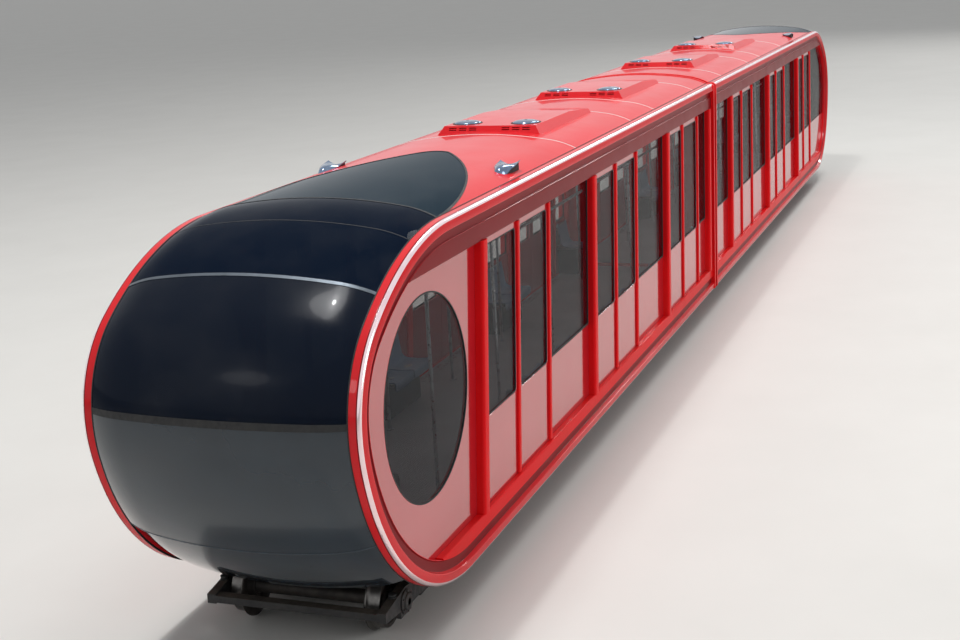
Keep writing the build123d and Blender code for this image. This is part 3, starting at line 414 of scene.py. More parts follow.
class Builder:
    """Collects points and faces of one mesh."""

    def __init__(self):
        self.verts = []
        self.faces = []

    def grid(self, rows, closed=False, caps=False):
        """Faces between rows of points. Closed joins each row's ends, caps closes both ends."""
        base = len(self.verts)
        width = len(rows[0])
        for row in rows:
            self.verts.extend(row)
        for i in range(len(rows) - 1):
            for j in range(width if closed else width - 1):
                a = base + i * width + j
                b = base + i * width + (j + 1) % width
                self.faces.append((a, b, b + width, a + width))
        if caps:
            last = base + (len(rows) - 1) * width
            self.faces.append(tuple(base + j for j in range(width)))
            self.faces.append(tuple(last + j for j in reversed(range(width))))

    def prism(self, outline, place, low, high):
        """Straight prism: place(a, b, c) gives the point of outline (a, b) at depth c."""
        rows = [[place(a, b, depth) for a, b in outline] for depth in (low, high)]
        self.grid(rows, closed=True, caps=True)

    def band(self, inner, outer, place, front, back):
        """Flat band between two outlines of as many points."""
        edges = ((inner, front), (outer, front), (outer, back), (inner, back), (inner, front))
        self.grid([[place(a, b, depth) for a, b in line] for line, depth in edges], closed=True)

    def shell(self, outer, inner):
        """Closed sheet between two grids of points of the same size."""
        self.grid(outer)
        self.grid(inner)
        for row in (0, -1):
            self.grid([outer[row], inner[row]])
        for column in (0, -1):
            self.grid([[row[column] for row in outer], [row[column] for row in inner]])

    def tube(self, path, radius, sides=12):
        """Round bar along straight and bent stretches."""
        points = [Vector(p) for p in path]
        spokes = [polar(radius, 2 * math.pi * k / sides) for k in range(sides)]
        rows = []
        for index, point in enumerate(points):
            along = points[min(len(points) - 1, index + 1)] - points[max(0, index - 1)]
            along.normalize()
            side = along.cross((0, 0, 1) if abs(along.z) < 0.95 else (1, 0, 0)).normalized()
            other = along.cross(side)
            rows.append([tuple(point + side * a + other * b) for a, b in spokes])
        self.grid(rows, closed=True, caps=True)

    def lathe(self, profile, centre, axis, turns=32):
        """Solid of revolution. The profile is (along, radius) pairs round an axis through centre."""
        axis = Vector(axis).normalized()
        side = axis.orthogonal().normalized()
        other = axis.cross(side)
        rows = []
        for k in range(turns + 1):
            a, b = polar(1.0, 2 * math.pi * k / turns)
            spoke = side * a + other * b
            rows.append([tuple(Vector(centre) + axis * s + spoke * r) for s, r in profile])
        self.grid(rows, closed=True)

    def hexagon(self, centre, axis, radius=0.011, height=0.008):
        """Bolt head standing on a surface."""
        chamfer = [(height * 0.8, radius), (height, radius * 0.8)]
        self.lathe([(0, 0), (0, radius)] + chamfer + [(height, 0)], centre, axis, 6)

    def piece(self, name, material, body, **options):
        """Mesh piece from the points and faces, welded, with its finish and body."""
        mesh = bpy.data.meshes.new(name)
        mesh.from_pydata([tuple(v) for v in self.verts], [], self.faces)
        welded = bmesh.new()
        welded.from_mesh(mesh)
        bmesh.ops.remove_doubles(welded, verts=welded.verts, dist=1e-5)
        bmesh.ops.dissolve_degenerate(welded, edges=welded.edges, dist=1e-6)
        bmesh.ops.recalc_face_normals(welded, faces=welded.faces)
        welded.to_mesh(mesh)
        welded.free()
        return dressed(name, mesh, material, body, **options)


def dressed(name, mesh, material, body, slot=None, smooth=35, bevel=0.0, replaces=()):
    """Piece of a mesh, with its material, shading, bevel, body and replaced nodes. The slot is not used.
    """
    piece = bpy.data.objects.new(name, mesh)
    bpy.context.scene.collection.objects.link(piece)
    mesh.materials.append(material)
    mesh.polygons.foreach_set("use_smooth", [True] * len(mesh.polygons))
    mesh.set_sharp_from_angle(angle=math.radians(smooth))
    if bevel:
        round_edges = piece.modifiers.new("edges", "BEVEL")
        round_edges.width = bevel
        round_edges.segments = 2
        round_edges.limit_method = "ANGLE"
        round_edges.angle_limit = math.radians(30)
        round_edges.harden_normals = True
    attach(piece, body)
    if replaces:
        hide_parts(*replaces)
    return piece


def from_node(node, suffix, material, bevel=0.004, pins=()):
    """Copy of a CAD node with its flat faces joined up and its edges rounded, in its place.

    Pins are upright pins at (x, radius), drawn 1.2 mm slimmer so that they turn clear of their bores.
    """
    source = frame["nodes"][node]
    mesh = bmesh.new()
    verts = [mesh.verts.new(v.co) for v in source.data.vertices]
    for polygon in source.data.polygons:
        corners = [verts[index] for index in polygon.vertices]
        if len(set(corners)) == len(corners) and mesh.faces.get(corners) is None:
            mesh.faces.new(corners)
    bmesh.ops.remove_doubles(mesh, verts=mesh.verts, dist=2e-5)
    for x, radius in pins:
        for vert in mesh.verts:
            reach = math.hypot(vert.co.x - x, vert.co.y)
            if abs(reach - radius) < PIN_MATCH:
                share = 1 - PIN_SLIMMER / reach
                vert.co.x = x + (vert.co.x - x) * share
                vert.co.y *= share
    flat = math.radians(1)
    bmesh.ops.dissolve_limit(mesh, angle_limit=flat, verts=mesh.verts, edges=mesh.edges)
    data = bpy.data.meshes.new(node + suffix)
    mesh.to_mesh(data)
    mesh.free()
    return dressed(node + suffix, data, material, source["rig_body"], bevel=bevel, replaces=[node])


class Section:
    """One body section, with its nose drawn at the downhill end."""

    def __init__(self, name):
        self.name = name
        self.lower = name == "lower"
        self.flip = 1.0 if self.lower else -1.0
        self.body = name + "_car"
        self.bays = LOWER_POSTS if self.lower else UPPER_POSTS

    def node(self, part):
        return f"{self.name}_{part}"

    def end_x(self, z, margin):
        """X of the section's leaning end at a height, before mirroring."""
        return leaning(JOINT_FOOT, z) * self.flip - margin

    def joint_edge(self, margin):
        """Edge of a roof panel along the leaning end: X by width and height."""
        return lambda y, z: self.end_x(z, margin)

    def add(self, builder, name, material, replaces=(), **options):
        """Piece of this section from a builder's mesh. Replaces names parts of the model."""
        nodes = [self.node(part) for part in replaces]
        return builder.piece(self.node(name), material, self.body, replaces=nodes, **options)

    def copy(self, part, suffix, material, bevel, pins=()):
        """Piece of this section that keeps the form of a part of the model."""
        return from_node(self.node(part), suffix, material, bevel, pins)

    def fixed_zones(self):
        """Start and end, on the ledge line, of each fixed pane with straight sides."""
        ends = self.bays[1:] + ([JOINT_POST] if self.lower else [])
        start = DOOR_END + DOOR_GAP + JAMB_WIDTH
        zones = [(foot + start, end - POST_WIDTH / 2) for foot, end in zip(self.bays, ends)]
        if self.lower:
            return zones + [(JOINT_POST + POST_WIDTH / 2, JOINT_FOOT - HOOP_BACK)]
        return zones + [(JOINT_FOOT + HOOP_BACK, self.bays[0] - POST_WIDTH / 2)]

    def leaf_spans(self):
        """Start and end, on the ledge line, of every door leaf."""
        spans = []
        for foot in self.bays:
            spans.append((foot + POST_WIDTH / 2 + DOOR_GAP, foot + LEAF_SPLIT - DOOR_GAP / 2))
            spans.append((foot + LEAF_SPLIT + DOOR_GAP / 2, foot + DOOR_END))
        return spans

    def run(self, from_nose, to_joint):
        """Lowest and highest X of what runs from a distance off the nose to one off the joint."""
        return sorted((self.flip * (NOSE_X + from_nose), JOINT_FOOT - self.flip * to_joint))

    def pod_starts(self):
        feet = self.bays[1:] if self.lower else self.bays[:2]
        return [foot + POD_OFFSET for foot in feet]


def sweep_rows(section, profile, places, side):
    """Rows of a section profile carried along stations. A station may end at the leaning joint."""
    rows = []
    for x, z, nx, nz, *cut in places:
        row = []
        for across, out in profile:
            height = z + nz * out
            along = section.end_x(height, cut[0]) if cut else x + nx * out
            row.append((section.flip * along, side * across, height))
        rows.append(row)
    return rows


def ring_stations():
    """The whole way round a section's ring, from the joint over the nose and back."""
    top = (0, RING_TOP, 0, 1, HOOP_BACK)
    bottom = (0, RING_BOTTOM, 0, -1, HOOP_BACK)
    return [top] + stations(90, 270) + [bottom]


def new_node(tree, kind, inputs=(), **settings):
    """Shader node with its settings and its inputs, each a value or another node's output."""
    node = tree.nodes.new("ShaderNode" + kind)
    for name, value in settings.items():
        setattr(node, name, value)
    for socket, value in dict(inputs).items():
        if isinstance(value, bpy.types.NodeSocket):
            tree.links.new(value, node.inputs[socket])
        else:
            node.inputs[socket].default_value = value
    return node


class Finish:
    """Material round one Principled shader, with textures placed by the model's own coordinates."""

    slots = {}

    def __init__(self, name, slot=None, **sockets):
        self.material = bpy.data.materials.new(name)
        Finish.slots[self.material.name] = slot
        self.material.use_nodes = True
        self.tree = self.material.node_tree
        self.shader = self.tree.nodes["Principled BSDF"]
        self.place = self.node("TexCoord").outputs["Object"]
        for socket, value in sockets.items():
            self.shader.inputs[socket.replace("_", " ")].default_value = value

    def node(self, kind, inputs=(), **settings):
        return new_node(self.tree, kind, inputs, **settings)

    def noise(self, scale, detail=3.0, rough=0.55, stretch=(1, 1, 1)):
        """Noise pattern, with the number of cells in a metre."""
        vector = self.node("Mapping", {"Vector": self.place, "Scale": stretch}).outputs["Vector"]
        inputs = {"Vector": vector, "Scale": scale, "Detail": detail, "Roughness": rough}
        return self.node("TexNoise", inputs).outputs["Fac"]

    def bands(self, axis, scale):
        """Even bands along an axis."""
        inputs = {"Vector": self.place, "Scale": scale}
        return self.node("TexWave", inputs, bands_direction=axis).outputs["Fac"]

    def by_z(self, vector, low, high, start, end, **settings):
        """Value that runs from start to end while a vector's Z runs from low to high."""
        inputs = {"From Min": low, "From Max": high, "To Min": start, "To Max": end}
        inputs["Value"] = self.node("SeparateXYZ", {0: vector}).outputs["Z"]
        return self.node("MapRange", inputs, **settings).outputs["Result"]

    def height(self, low, high):
        """1 at and below the height low, 0 at and above high."""
        return self.by_z(self.place, low, high, 1.0, 0.0, interpolation_type="SMOOTHSTEP")

    def upwards(self, low, high):
        """0 where the surface faces sideways, rising to 1 where it faces up."""
        return self.by_z(self.node("NewGeometry").outputs["Normal"], low, high, 0.0, 1.0)

    def times(self, a, b):
        return self.node("Math", {0: a, 1: b}, operation="MULTIPLY").outputs[0]

    def ramp(self, source, *stops):
        """Colour or grey by a pattern's value. Each of the two stops is its place and its colour."""
        node = self.node("ValToRGB", {0: source})
        for mark, (place, colour) in zip(node.color_ramp.elements, stops):
            mark.position = place
            mark.color = (*colour, 1) if isinstance(colour, tuple) else (colour, colour, colour, 1)
        return node.outputs["Color"]

    def over(self, share, under, top):
        """The colour top laid on the colour under by a share."""
        under = (*under, 1) if isinstance(under, tuple) else under
        return self.node("Mix", {0: share, 6: under, 7: (*top, 1)}, data_type="RGBA").outputs[2]

    def relief(self, source, distance, strength):
        """Bump from a pattern, in metres."""
        inputs = {"Height": source, "Distance": distance, "Strength": strength}
        return self.node("Bump", inputs).outputs["Normal"]

    def connect(self, **outputs):
        for socket, output in outputs.items():
            self.tree.links.new(output, self.shader.inputs[socket.replace("_", " ")])
        return self.material


def make_red_paint(name, light, dark, coat, dust, coat_index=1.45):
    """Glossy lacquer with soft panel waves and a little road dust low down."""
    gloss = {"Coat_Weight": coat, "Coat_Roughness": 0.05, "Coat_IOR": coat_index}
    paint = Finish(name, "red_paint", Specular_IOR_Level=0.03, **gloss)
    tone = paint.ramp(paint.noise(0.5, 2.0), (0.3, dark), (0.7, light))
    low = paint.height(0.35, 1.1)
    grime = paint.times(low, paint.ramp(paint.noise(3, 4, 0.5), (0.4, 0.0), (0.8, 0.18)))
    settled = paint.upwards(0.8, 1.0)
    film = paint.times(settled, paint.ramp(paint.noise(0.9, 4, 0.55), (0.35, 0.0), (0.85, dust)))
    colour = paint.over(grime, tone, (0.2, 0.09, 0.06))
    colour = paint.over(film, colour, (0.66, 0.36, 0.33))
    rough = paint.ramp(paint.noise(2.5, 4, 0.6), (0.3, 0.28), (0.8, 0.36))
    waves = paint.relief(paint.noise(1.1, 1.0, 0.4), 0.0008, 0.3)
    return paint.connect(Base_Color=colour, Roughness=rough, Normal=waves, Coat_Normal=waves)


def make_glass(name, tint, waves, slot="dark_glass", **sockets):
    """Dark film-tinted glass with slight waves and a faint veil of dust."""
    glass = Finish(name, slot, **sockets)
    dust = glass.ramp(glass.noise(2, 4, 0.5), (0.45, 0.0), (0.9, 0.03))
    colour = glass.over(dust, tint, (0.4, 0.38, 0.35))
    rough = glass.ramp(glass.noise(3, 4, 0.5), (0.35, 0.01), (0.85, 0.04))
    wobble = glass.relief(glass.noise(1.3, 1.0, 0.4), waves, 0.5)
    return glass.connect(Base_Color=colour, Roughness=rough, Normal=wobble)


def make_black_gloss():
    """Black lacquer of the lower nose."""
    gloss = {"Coat_Weight": 1.0, "Coat_Roughness": 0.03, "Coat_IOR": 1.55}
    black = Finish("black_gloss", "black_gloss", Specular_IOR_Level=0.1, **gloss)
    tone = black.ramp(black.noise(2), (0.3, (0.008, 0.017, 0.028)), (0.7, (0.012, 0.024, 0.038)))
    spots = black.ramp(black.noise(10, 6, 0.7), (0.5, 0.0), (0.85, 0.3))
    grime = black.times(black.height(0.5, 1.4), spots)
    colour = black.over(grime, tone, (0.11, 0.09, 0.07))
    rough = black.ramp(black.noise(14, 5, 0.6), (0.35, 0.12), (0.8, 0.3))
    waves = black.relief(black.noise(1.6, 1.0, 0.4), 0.0012, 0.5)
    return black.connect(Base_Color=colour, Roughness=rough, Normal=waves, Coat_Normal=waves)


def make_metal(name, slot, light, dark, rough, scale=8.0, metallic=1.0, grain=(1, 1, 1)):
    """Bare or plated metal with soft stains and a fine grain."""
    metal = Finish(name, slot, Metallic=metallic)
    colour = metal.ramp(metal.noise(scale, 5, 0.65), (0.35, dark), (0.75, light))
    shine = metal.ramp(metal.noise(scale * 3, 5, 0.7), (0.3, rough * 0.75), (0.8, rough * 1.35))
    fine = metal.relief(metal.noise(220, 2.0, 0.5, grain), 0.0003, 0.2)
    return metal.connect(Base_Color=colour, Roughness=shine, Normal=fine)


def make_dark_steel():
    """Painted running-gear steel under brake dust, with rust spots and dry dirt on what faces up."""
    steel = Finish("dark_steel", "dark_steel", Metallic=0.15)
    tones = (0.3, (0.014, 0.014, 0.016)), (0.75, (0.045, 0.042, 0.04))
    paint = steel.ramp(steel.noise(6, 6, 0.65), *tones)
    rust = steel.ramp(steel.noise(17, 8, 0.75), (0.6, 0.0), (0.78, 0.55))
    colour = steel.over(rust, paint, (0.11, 0.045, 0.02))
    dirt = steel.times(steel.upwards(0.3, 1.0), steel.ramp(steel.noise(7), (0.3, 0.25), (0.7, 0.75)))
    colour = steel.over(dirt, colour, (0.14, 0.115, 0.09))
    rough = steel.ramp(steel.noise(25, 5), (0.3, 0.45), (0.8, 0.8))
    cast_skin = steel.relief(steel.noise(90, 4, 0.6), 0.0012, 0.35)
    return steel.connect(Base_Color=colour, Roughness=rough, Normal=cast_skin)


def make_rubber():
    """Black rubber, chalky in places."""
    rubber = Finish("black_rubber", "black_rubber")
    tones = (0.35, (0.007, 0.007, 0.008)), (0.85, (0.022, 0.021, 0.02))
    colour = rubber.ramp(rubber.noise(12, 6, 0.7), *tones)
    rough = rubber.ramp(rubber.noise(30, 4), (0.3, 0.55), (0.8, 0.85))
    skin = rubber.relief(rubber.noise(140, 4, 0.6), 0.0008, 0.3)
    return rubber.connect(Base_Color=colour, Roughness=rough, Normal=skin)


def make_vinyl():
    """Speckled floor covering with fine ribs along the car."""
    vinyl = Finish("floor_vinyl", "floor_vinyl")
    base = vinyl.ramp(vinyl.noise(1.5), (0.3, (0.36, 0.37, 0.38)), (0.7, (0.44, 0.45, 0.46)))
    speck = vinyl.ramp(vinyl.noise(170, 2, 0.5), (0.6, 0.0), (0.66, 0.7))
    colour = vinyl.over(speck, base, (0.2, 0.21, 0.23))
    rough = vinyl.ramp(vinyl.noise(20, 4), (0.3, 0.45), (0.8, 0.7))
    ribs = vinyl.relief(vinyl.bands("Y", 12.0), 0.002, 0.5)
    return vinyl.connect(Base_Color=colour, Roughness=rough, Normal=ribs)


def make_moulded(name, slot, light, dark, rough=0.45):
    """Moulded plastic with a leather-like grain."""
    moulded = Finish(name, slot)
    colour = moulded.ramp(moulded.noise(3, 4), (0.3, dark), (0.75, light))
    shine = moulded.ramp(moulded.noise(30, 4), (0.3, rough * 0.8), (0.8, rough * 1.3))
    cells = moulded.node("TexVoronoi", {"Vector": moulded.place, "Scale": 420})
    grain = moulded.relief(cells.outputs["Distance"], 0.0004, 0.35)
    return moulded.connect(Base_Color=colour, Roughness=shine, Normal=grain)


RED = make_red_paint("red_paint", (0.8, 0.009, 0.012), (0.72, 0.007, 0.01), 0.06, 0.02)
ROOF_RED = make_red_paint("roof_red", (0.74, 0.016, 0.024), (0.66, 0.012, 0.018), 0.4, 0.08)
RING_RED = make_red_paint("ring_red", (0.74, 0.012, 0.019), (0.66, 0.009, 0.015), 0.5, 0.03)
PANEL_RED = make_red_paint("panel_red", (0.5, 0.012, 0.02), (0.43, 0.009, 0.016), 1.0, 0.0, 2.25)
# Darker copy of the same red paint, for the header band and the ring's groove: painted shade.
SHADED_RED = make_red_paint("shaded_red", (0.24, 0.007, 0.011), (0.19, 0.005, 0.008), 0.12, 0.0)
SIDE_GLASS = make_glass(
    "tinted_glass", (0.006, 0.011, 0.016), 0.0004, "tinted_glass", Specular_IOR_Level=0.12, Alpha=0.32
)
SCREEN_COAT = {"Coat_Weight": 0.15, "Coat_Roughness": 0.2, "Coat_IOR": 1.45}
NOSE_GLASS = make_glass(
    "dark_glass", (0.003, 0.007, 0.017), 0.0008, IOR=1.08, Alpha=0.94, **SCREEN_COAT
)
HEADER_GLASS = make_glass("header_glass", (0.004, 0.009, 0.021), 0.0008, IOR=1.05, Alpha=0.94)
ROOF_GLASS = make_glass("roof_glass", (0.017, 0.032, 0.046), 0.0008, IOR=1.033, Alpha=0.92)
BLACK = make_black_gloss()
RUBBER = make_rubber()
STEEL = make_dark_steel()
VINYL = make_vinyl()

# Metals: name, slot, light tone, dark tone, roughness
WHEEL = make_metal(
    "wheel_steel", "wheel_steel", (0.06, 0.05, 0.044), (0.022, 0.019, 0.017), 0.55, 9, 0.5
)
TREAD = make_metal(
    "wheel_tread", "wheel_steel", (0.2, 0.19, 0.18), (0.1, 0.095, 0.09), 0.38, 14, grain=(1, 12, 1)
)
TRIM = make_metal("grey_metal", "grey_metal", (0.5, 0.52, 0.54), (0.32, 0.34, 0.37), 0.3)
# Pale pink polished metal on the ring's shoulder arc, a painted highlight: the paint there is red, and the
# bright line is light caught by its rounded edge.
PAINTED_HIGHLIGHT = make_metal("painted_highlight_strip", "red_paint", (1.0, 0.82, 0.84), (0.94, 0.7, 0.73), 0.16)
STRIP = make_metal(
    "trim_strip", "grey_metal", (0.11, 0.13, 0.155), (0.07, 0.085, 0.1), 0.4, metallic=0.6
)
CHROME = make_metal("blue_chrome", "grey_metal", (0.28, 0.36, 0.48), (0.15, 0.2, 0.29), 0.14)

# Plastics: name, slot, light tone, dark tone, roughness
SEAT_SHELL = make_moulded("seat_shell", "seat_shell", (0.22, 0.3, 0.42), (0.15, 0.21, 0.31))
DESK = make_moulded("desk_plastic", "desk_plastic", (0.035, 0.037, 0.042), (0.02, 0.021, 0.025), 0.5)
LINING = make_moulded("lining", "desk_plastic", (0.72, 0.72, 0.7), (0.64, 0.64, 0.63), 0.5)


def leaning_frame(builder, side, outer, inner, out, thickness, corner=0.0, steps=5):
    """Leaning plate with an opening. Outer and inner are (foot from, foot to, z from, z to)."""
    hole = rectangle(*inner, corner, steps=steps)
    edge = rectangle(*outer)
    per_corner = len(hole) // len(edge)
    rim = [edge[index // per_corner] for index in range(len(hole))]
    builder.band(hole, rim, leaning_face(side), HALF - out, HALF - out - thickness)


def leaning_plate(builder, side, spec, out, thickness, corner=0.0):
    """Leaning solid plate. Spec is (foot from, foot to, z from, z to)."""
    builder.prism(rectangle(*spec, corner), leaning_face(side), HALF - out - thickness, HALF - out)


# The ring's section: width, height, corner radius
RING_PROFILE = rounded(
    [
        (HALF - TOP_EDGE, 0, 0),
        (HALF - SHOULDER_SIDE, -0.001, SHOULDER_RADIUS_OUT),
        (HALF, -WIDEST_DROP, 0.007),
        (HALF - GROOVE_DEPTH, -WIDEST_DROP - GROOVE_RAMP, 0.008),
        (HALF - GROOVE_DEPTH, -RING_DEPTH + GROOVE_RAMP, 0.008),
        (HALF - RING_INSET, -RING_DEPTH, 0.003),
        (INNER_Y, -RING_DEPTH, 0),
        (SEAT - RING_WALL * math.sin(EDGE_ANGLE), -RING_WALL * math.cos(EDGE_ANGLE), 0),
        (SEAT, 0, 0),
    ],
    SHOULDER_STEPS,
)
SEAL_IN, SEAL_OUT, SEAL_LOW, SEAL_HIGH = SEAT - 0.006, SEAT + 0.004, -0.01, 0.006
SEAL_PROFILE = rounded(
    [
        (SEAL_IN, SEAL_LOW, 0),
        (SEAL_OUT, SEAL_LOW, 0),
        (SEAL_OUT, SEAL_HIGH - 0.001, 0.003),
        (SEAL_IN, SEAL_HIGH, 0.003),
    ],
    3,
)


def make_rings(section):
    """Side rings, with painted shade in the groove and a painted highlight strip along the shoulder, and
    the skin's seal.
    """
    places = ring_stations()
    builder, seal = Builder(), Builder()
    for side in (-1, 1):
        builder.grid(sweep_rows(section, RING_PROFILE, places, side), closed=True, caps=True)
        seal.grid(sweep_rows(section, SEAL_PROFILE, places, side), closed=True, caps=True)
    rings = section.add(builder, "side_rings", RING_RED, ["loops"], smooth=28)
    rings.data.materials.append(SHADED_RED)
    rings.data.materials.append(PAINTED_HIGHLIGHT)
    width = len(RING_PROFILE)
    swept = (len(places) - 1) * width
    for polygon in rings.data.polygons:
        depth = HALF - abs(polygon.center.y)
        place = polygon.index % (swept + 2)
        # Groove faces take the darker red: painted shade in the recess.
        if GROOVE_DEPTH - 0.012 < depth < GROOVE_DEPTH + 0.002:
            polygon.material_index = 1
        # Shoulder arc faces take the pale strip: a painted highlight.
        elif place < swept and 1 <= place % width <= SHOULDER_STEPS:
            polygon.material_index = 2
    section.add(seal, "skin_seal", RUBBER)


# Widths at which the nose skin is worked out
CROWN_STEPS = 16
EDGE_STEPS = 10
SKIN_Y = [CROWN_HALF * k / CROWN_STEPS for k in range(CROWN_STEPS)]
SKIN_Y += [CROWN_HALF + (SEAT - CROWN_HALF) * k / EDGE_STEPS for k in range(EDGE_STEPS + 1)]
SKIN_Y = [-y for y in reversed(SKIN_Y[1:])] + SKIN_Y


def nose_row(section, place, lift):
    """Points across the skin at a station, lifted off its outer surface."""
    x, z, nx, nz = place
    row = []
    for y in SKIN_Y:
        across, out = skin_at(y, -lift)
        row.append((section.flip * (x + nx * out), across, z + nz * out))
    return row


def nose_sheet(section, start, stop, top_lift, foot_lift):
    """Builder with a curved sheet round the nose between two angles and two lifts."""
    places = stations(start, stop)
    rows = [[nose_row(section, place, lift) for place in places] for lift in (top_lift, foot_lift)]
    builder = Builder()
    builder.shell(*rows)
    return builder


# Roof glass in plan: flank arc and tip arc, tangent where they meet
GLASS_START = NOSE_X + TOP_BLEND
FLANK_X = GLASS_START - ROOF_GLASS_SETBACK
TIP_X = GLASS_START + ROOF_GLASS_LENGTH - ROOF_GLASS_RADIUS
FLANK_REACH = SEAT + ROOF_GLASS_SPILL
FLANK_RADIUS = blend_radius(ROOF_GLASS_LENGTH + ROOF_GLASS_SETBACK, FLANK_REACH, ROOF_GLASS_RADIUS)
FLANK_Y = FLANK_REACH - FLANK_RADIUS
FLANK_TURN = math.atan2(-FLANK_Y, TIP_X - FLANK_X)


def glass_edge(margin):
    """Round uphill edge of the roof glass, moved uphill by the margin: X by width and height."""

    def edge(y, z):
        y = abs(y)
        radius = ROOF_GLASS_RADIUS + margin
        if y <= radius * math.sin(FLANK_TURN):
            return TIP_X + math.sqrt(radius**2 - y**2)
        reach = FLANK_RADIUS + margin
        x = FLANK_X + math.sqrt(max(0.0, reach**2 - (y - FLANK_Y) ** 2))
        return max(x, GLASS_START + 0.006 + margin / 10)

    return edge


# Widths at which the straight roof is worked out, close together round the glass's tip
TIP_STEPS = 5
FLANK_STEPS = 24
LAST_TURN = math.asin((SEAT - FLANK_Y) / FLANK_RADIUS)
ROOF_Y = [ROOF_GLASS_RADIUS * math.sin(FLANK_TURN * k / TIP_STEPS) for k in range(1, TIP_STEPS + 1)]
for step in range(1, FLANK_STEPS + 1):
    swing = FLANK_TURN + (LAST_TURN - FLANK_TURN) * step / FLANK_STEPS
    ROOF_Y.append(FLANK_Y + FLANK_RADIUS * math.sin(swing))
ROOF_Y = [-y for y in reversed(ROOF_Y)] + [0.0] + ROOF_Y


def flat_skin(section, name, start, stop, lift, thickness, material, replaces=()):
    """Panel of the straight roof between two edges, which give X by width and height."""

    def sheet(depth):
        rows = []
        for place in (start, stop):
            row = []
            for y in ROOF_Y:
                across, out = skin_at(y, depth)
                z = RING_TOP + out
                row.append((section.flip * place(y, z), across, z))
            rows.append(row)
        return rows

    builder = Builder()
    builder.shell(sheet(-lift), sheet(thickness - lift))
    return section.add(builder, name, material, replaces)


def make_skin(section):
    """Roof skin, roof glass and everything round the nose."""
    joint, glass, seam = section.joint_edge(HOOP_BACK), glass_edge(-0.006), GLASS_START + 0.004
    # Flat panels: name, start, end, lift, thickness, material, replaced parts
    flat_panels = [
        ("roof_skin", glass_edge(0.002), joint, 0.0, ROOF_THICKNESS, ROOF_RED, ["roof"]),
        ("roof_window", lambda y, z: seam, glass, -0.001, GLASS_THICKNESS, ROOF_GLASS, ["roof_glass"]),
        ("roof_window_rim", glass_edge(-0.014), glass_edge(0.006), 0.003, 0.012, RUBBER, []),
    ]
    for panel in flat_panels:
        flat_skin(section, *panel)
    top, foot = angle_at(WINDSCREEN_TOP), angle_at(WINDSCREEN_FOOT)
    lip, bumper = angle_at(LIP_HEIGHT), angle_at(BUMPER_FOOT)
    # Curved panels: name, start angle, end angle, lift, thickness, material, replaced parts
    panels = [
        ("header_window", 90.08, top - 0.2, -0.001, GLASS_THICKNESS, HEADER_GLASS, ["roof_glass"]),
        ("windscreen_pane", top + 0.2, foot - 0.2, -0.001, GLASS_THICKNESS, NOSE_GLASS, ["windscreen"]),
        ("nose_panel", foot + 0.2, lip, 0.0, FAIRING_THICKNESS, BLACK, ["nose_fairing"]),
        ("bumper", lip, bumper, -LIP_STEP, FAIRING_THICKNESS, BLACK, []),
    ]
    # Seams: name, angle, width along the nose, lift, material
    seams = [
        ("glass_seam", 90.35, 0.026, 0.002, RUBBER),
        ("header_joint", 103.5, 0.008, 0.0005, RUBBER),
        ("header_trim", top, 0.03, 0.003, STRIP),
        # The windscreen sill is real rubber, drawn wider to take in the shadow line at the windscreen's
        # foot: partly painted shadow.
        ("windscreen_sill", foot, 0.05, 0.002, RUBBER),
        ("lip_line", lip - 0.25, 0.012, 0.002, STRIP),
    ]
    for name, angle, width, lift, material in seams:
        half = seam_angle(angle, width / 2)
        start = max(90, angle - half)
        panels.append((name, start, angle + half, lift, GLASS_THICKNESS + lift, material, []))
    for name, start, stop, lift, thickness, material, replaced in panels:
        sheet = nose_sheet(section, start, stop, lift, lift - thickness)
        section.add(sheet, name, material, replaced)
    web = nose_sheet(section, lip - seam_angle(lip, LIP_WEB), lip, 0.0, -LIP_STEP - FAIRING_THICKNESS)
    section.add(web, "lip_web", BLACK)


def inner_height(x, upper):
    """Height of the ring's inner curve at an X near the nose or beyond it."""
    if x >= NOSE_X + (TOP_BLEND if upper else BOTTOM_BLEND):
        return RING_TOP - RING_DEPTH if upper else RING_BOTTOM + RING_DEPTH
    middle, height, radius = NOSE_ARCS[0 if upper else 3][:3]
    rise = math.sqrt((radius - RING_DEPTH) ** 2 - (x - middle) ** 2)
    return height + (rise if upper else -rise)


def inner_x(arc, level, depth=RING_DEPTH):
    """X at which the curve at a depth inside a nose arc passes a level."""
    return arc[0] - math.sqrt((arc[2] - depth) ** 2 - (level - arc[1]) ** 2)


def rail(section, builder, side, upper):
    """Header or ledge of one side: rows along X from its point at the nose to the hoop."""
    level, out = (HEADER_BOTTOM, HEADER_OUT) if upper else (LEDGE_TOP, LEDGE_OUT)
    tip = inner_x(NOSE_ARCS[0 if upper else 3], level) + 0.03
    run = NOSE_X + (TOP_BLEND if upper else BOTTOM_BLEND)
    lap = 0.004 if upper else -0.004
    rows = []
    for x in [tip + (run - tip) * k / 16 for k in range(17)] + [None]:
        meet = inner_height(run if x is None else x, upper) + lap
        corners = [
            (INNER_Y, level, 0),
            (HALF - out, level, min(0.012, abs(meet - level) * 0.4)),
            (HALF - out, meet, 0),
            (INNER_Y, meet, 0),
        ]
        row = []
        for y, z in rounded(corners):
            along = section.end_x(z, HOOP_BACK) if x is None else x
            row.append((section.flip * along, side * y, z))
        rows.append(row)
    builder.grid(rows, closed=True, caps=True)


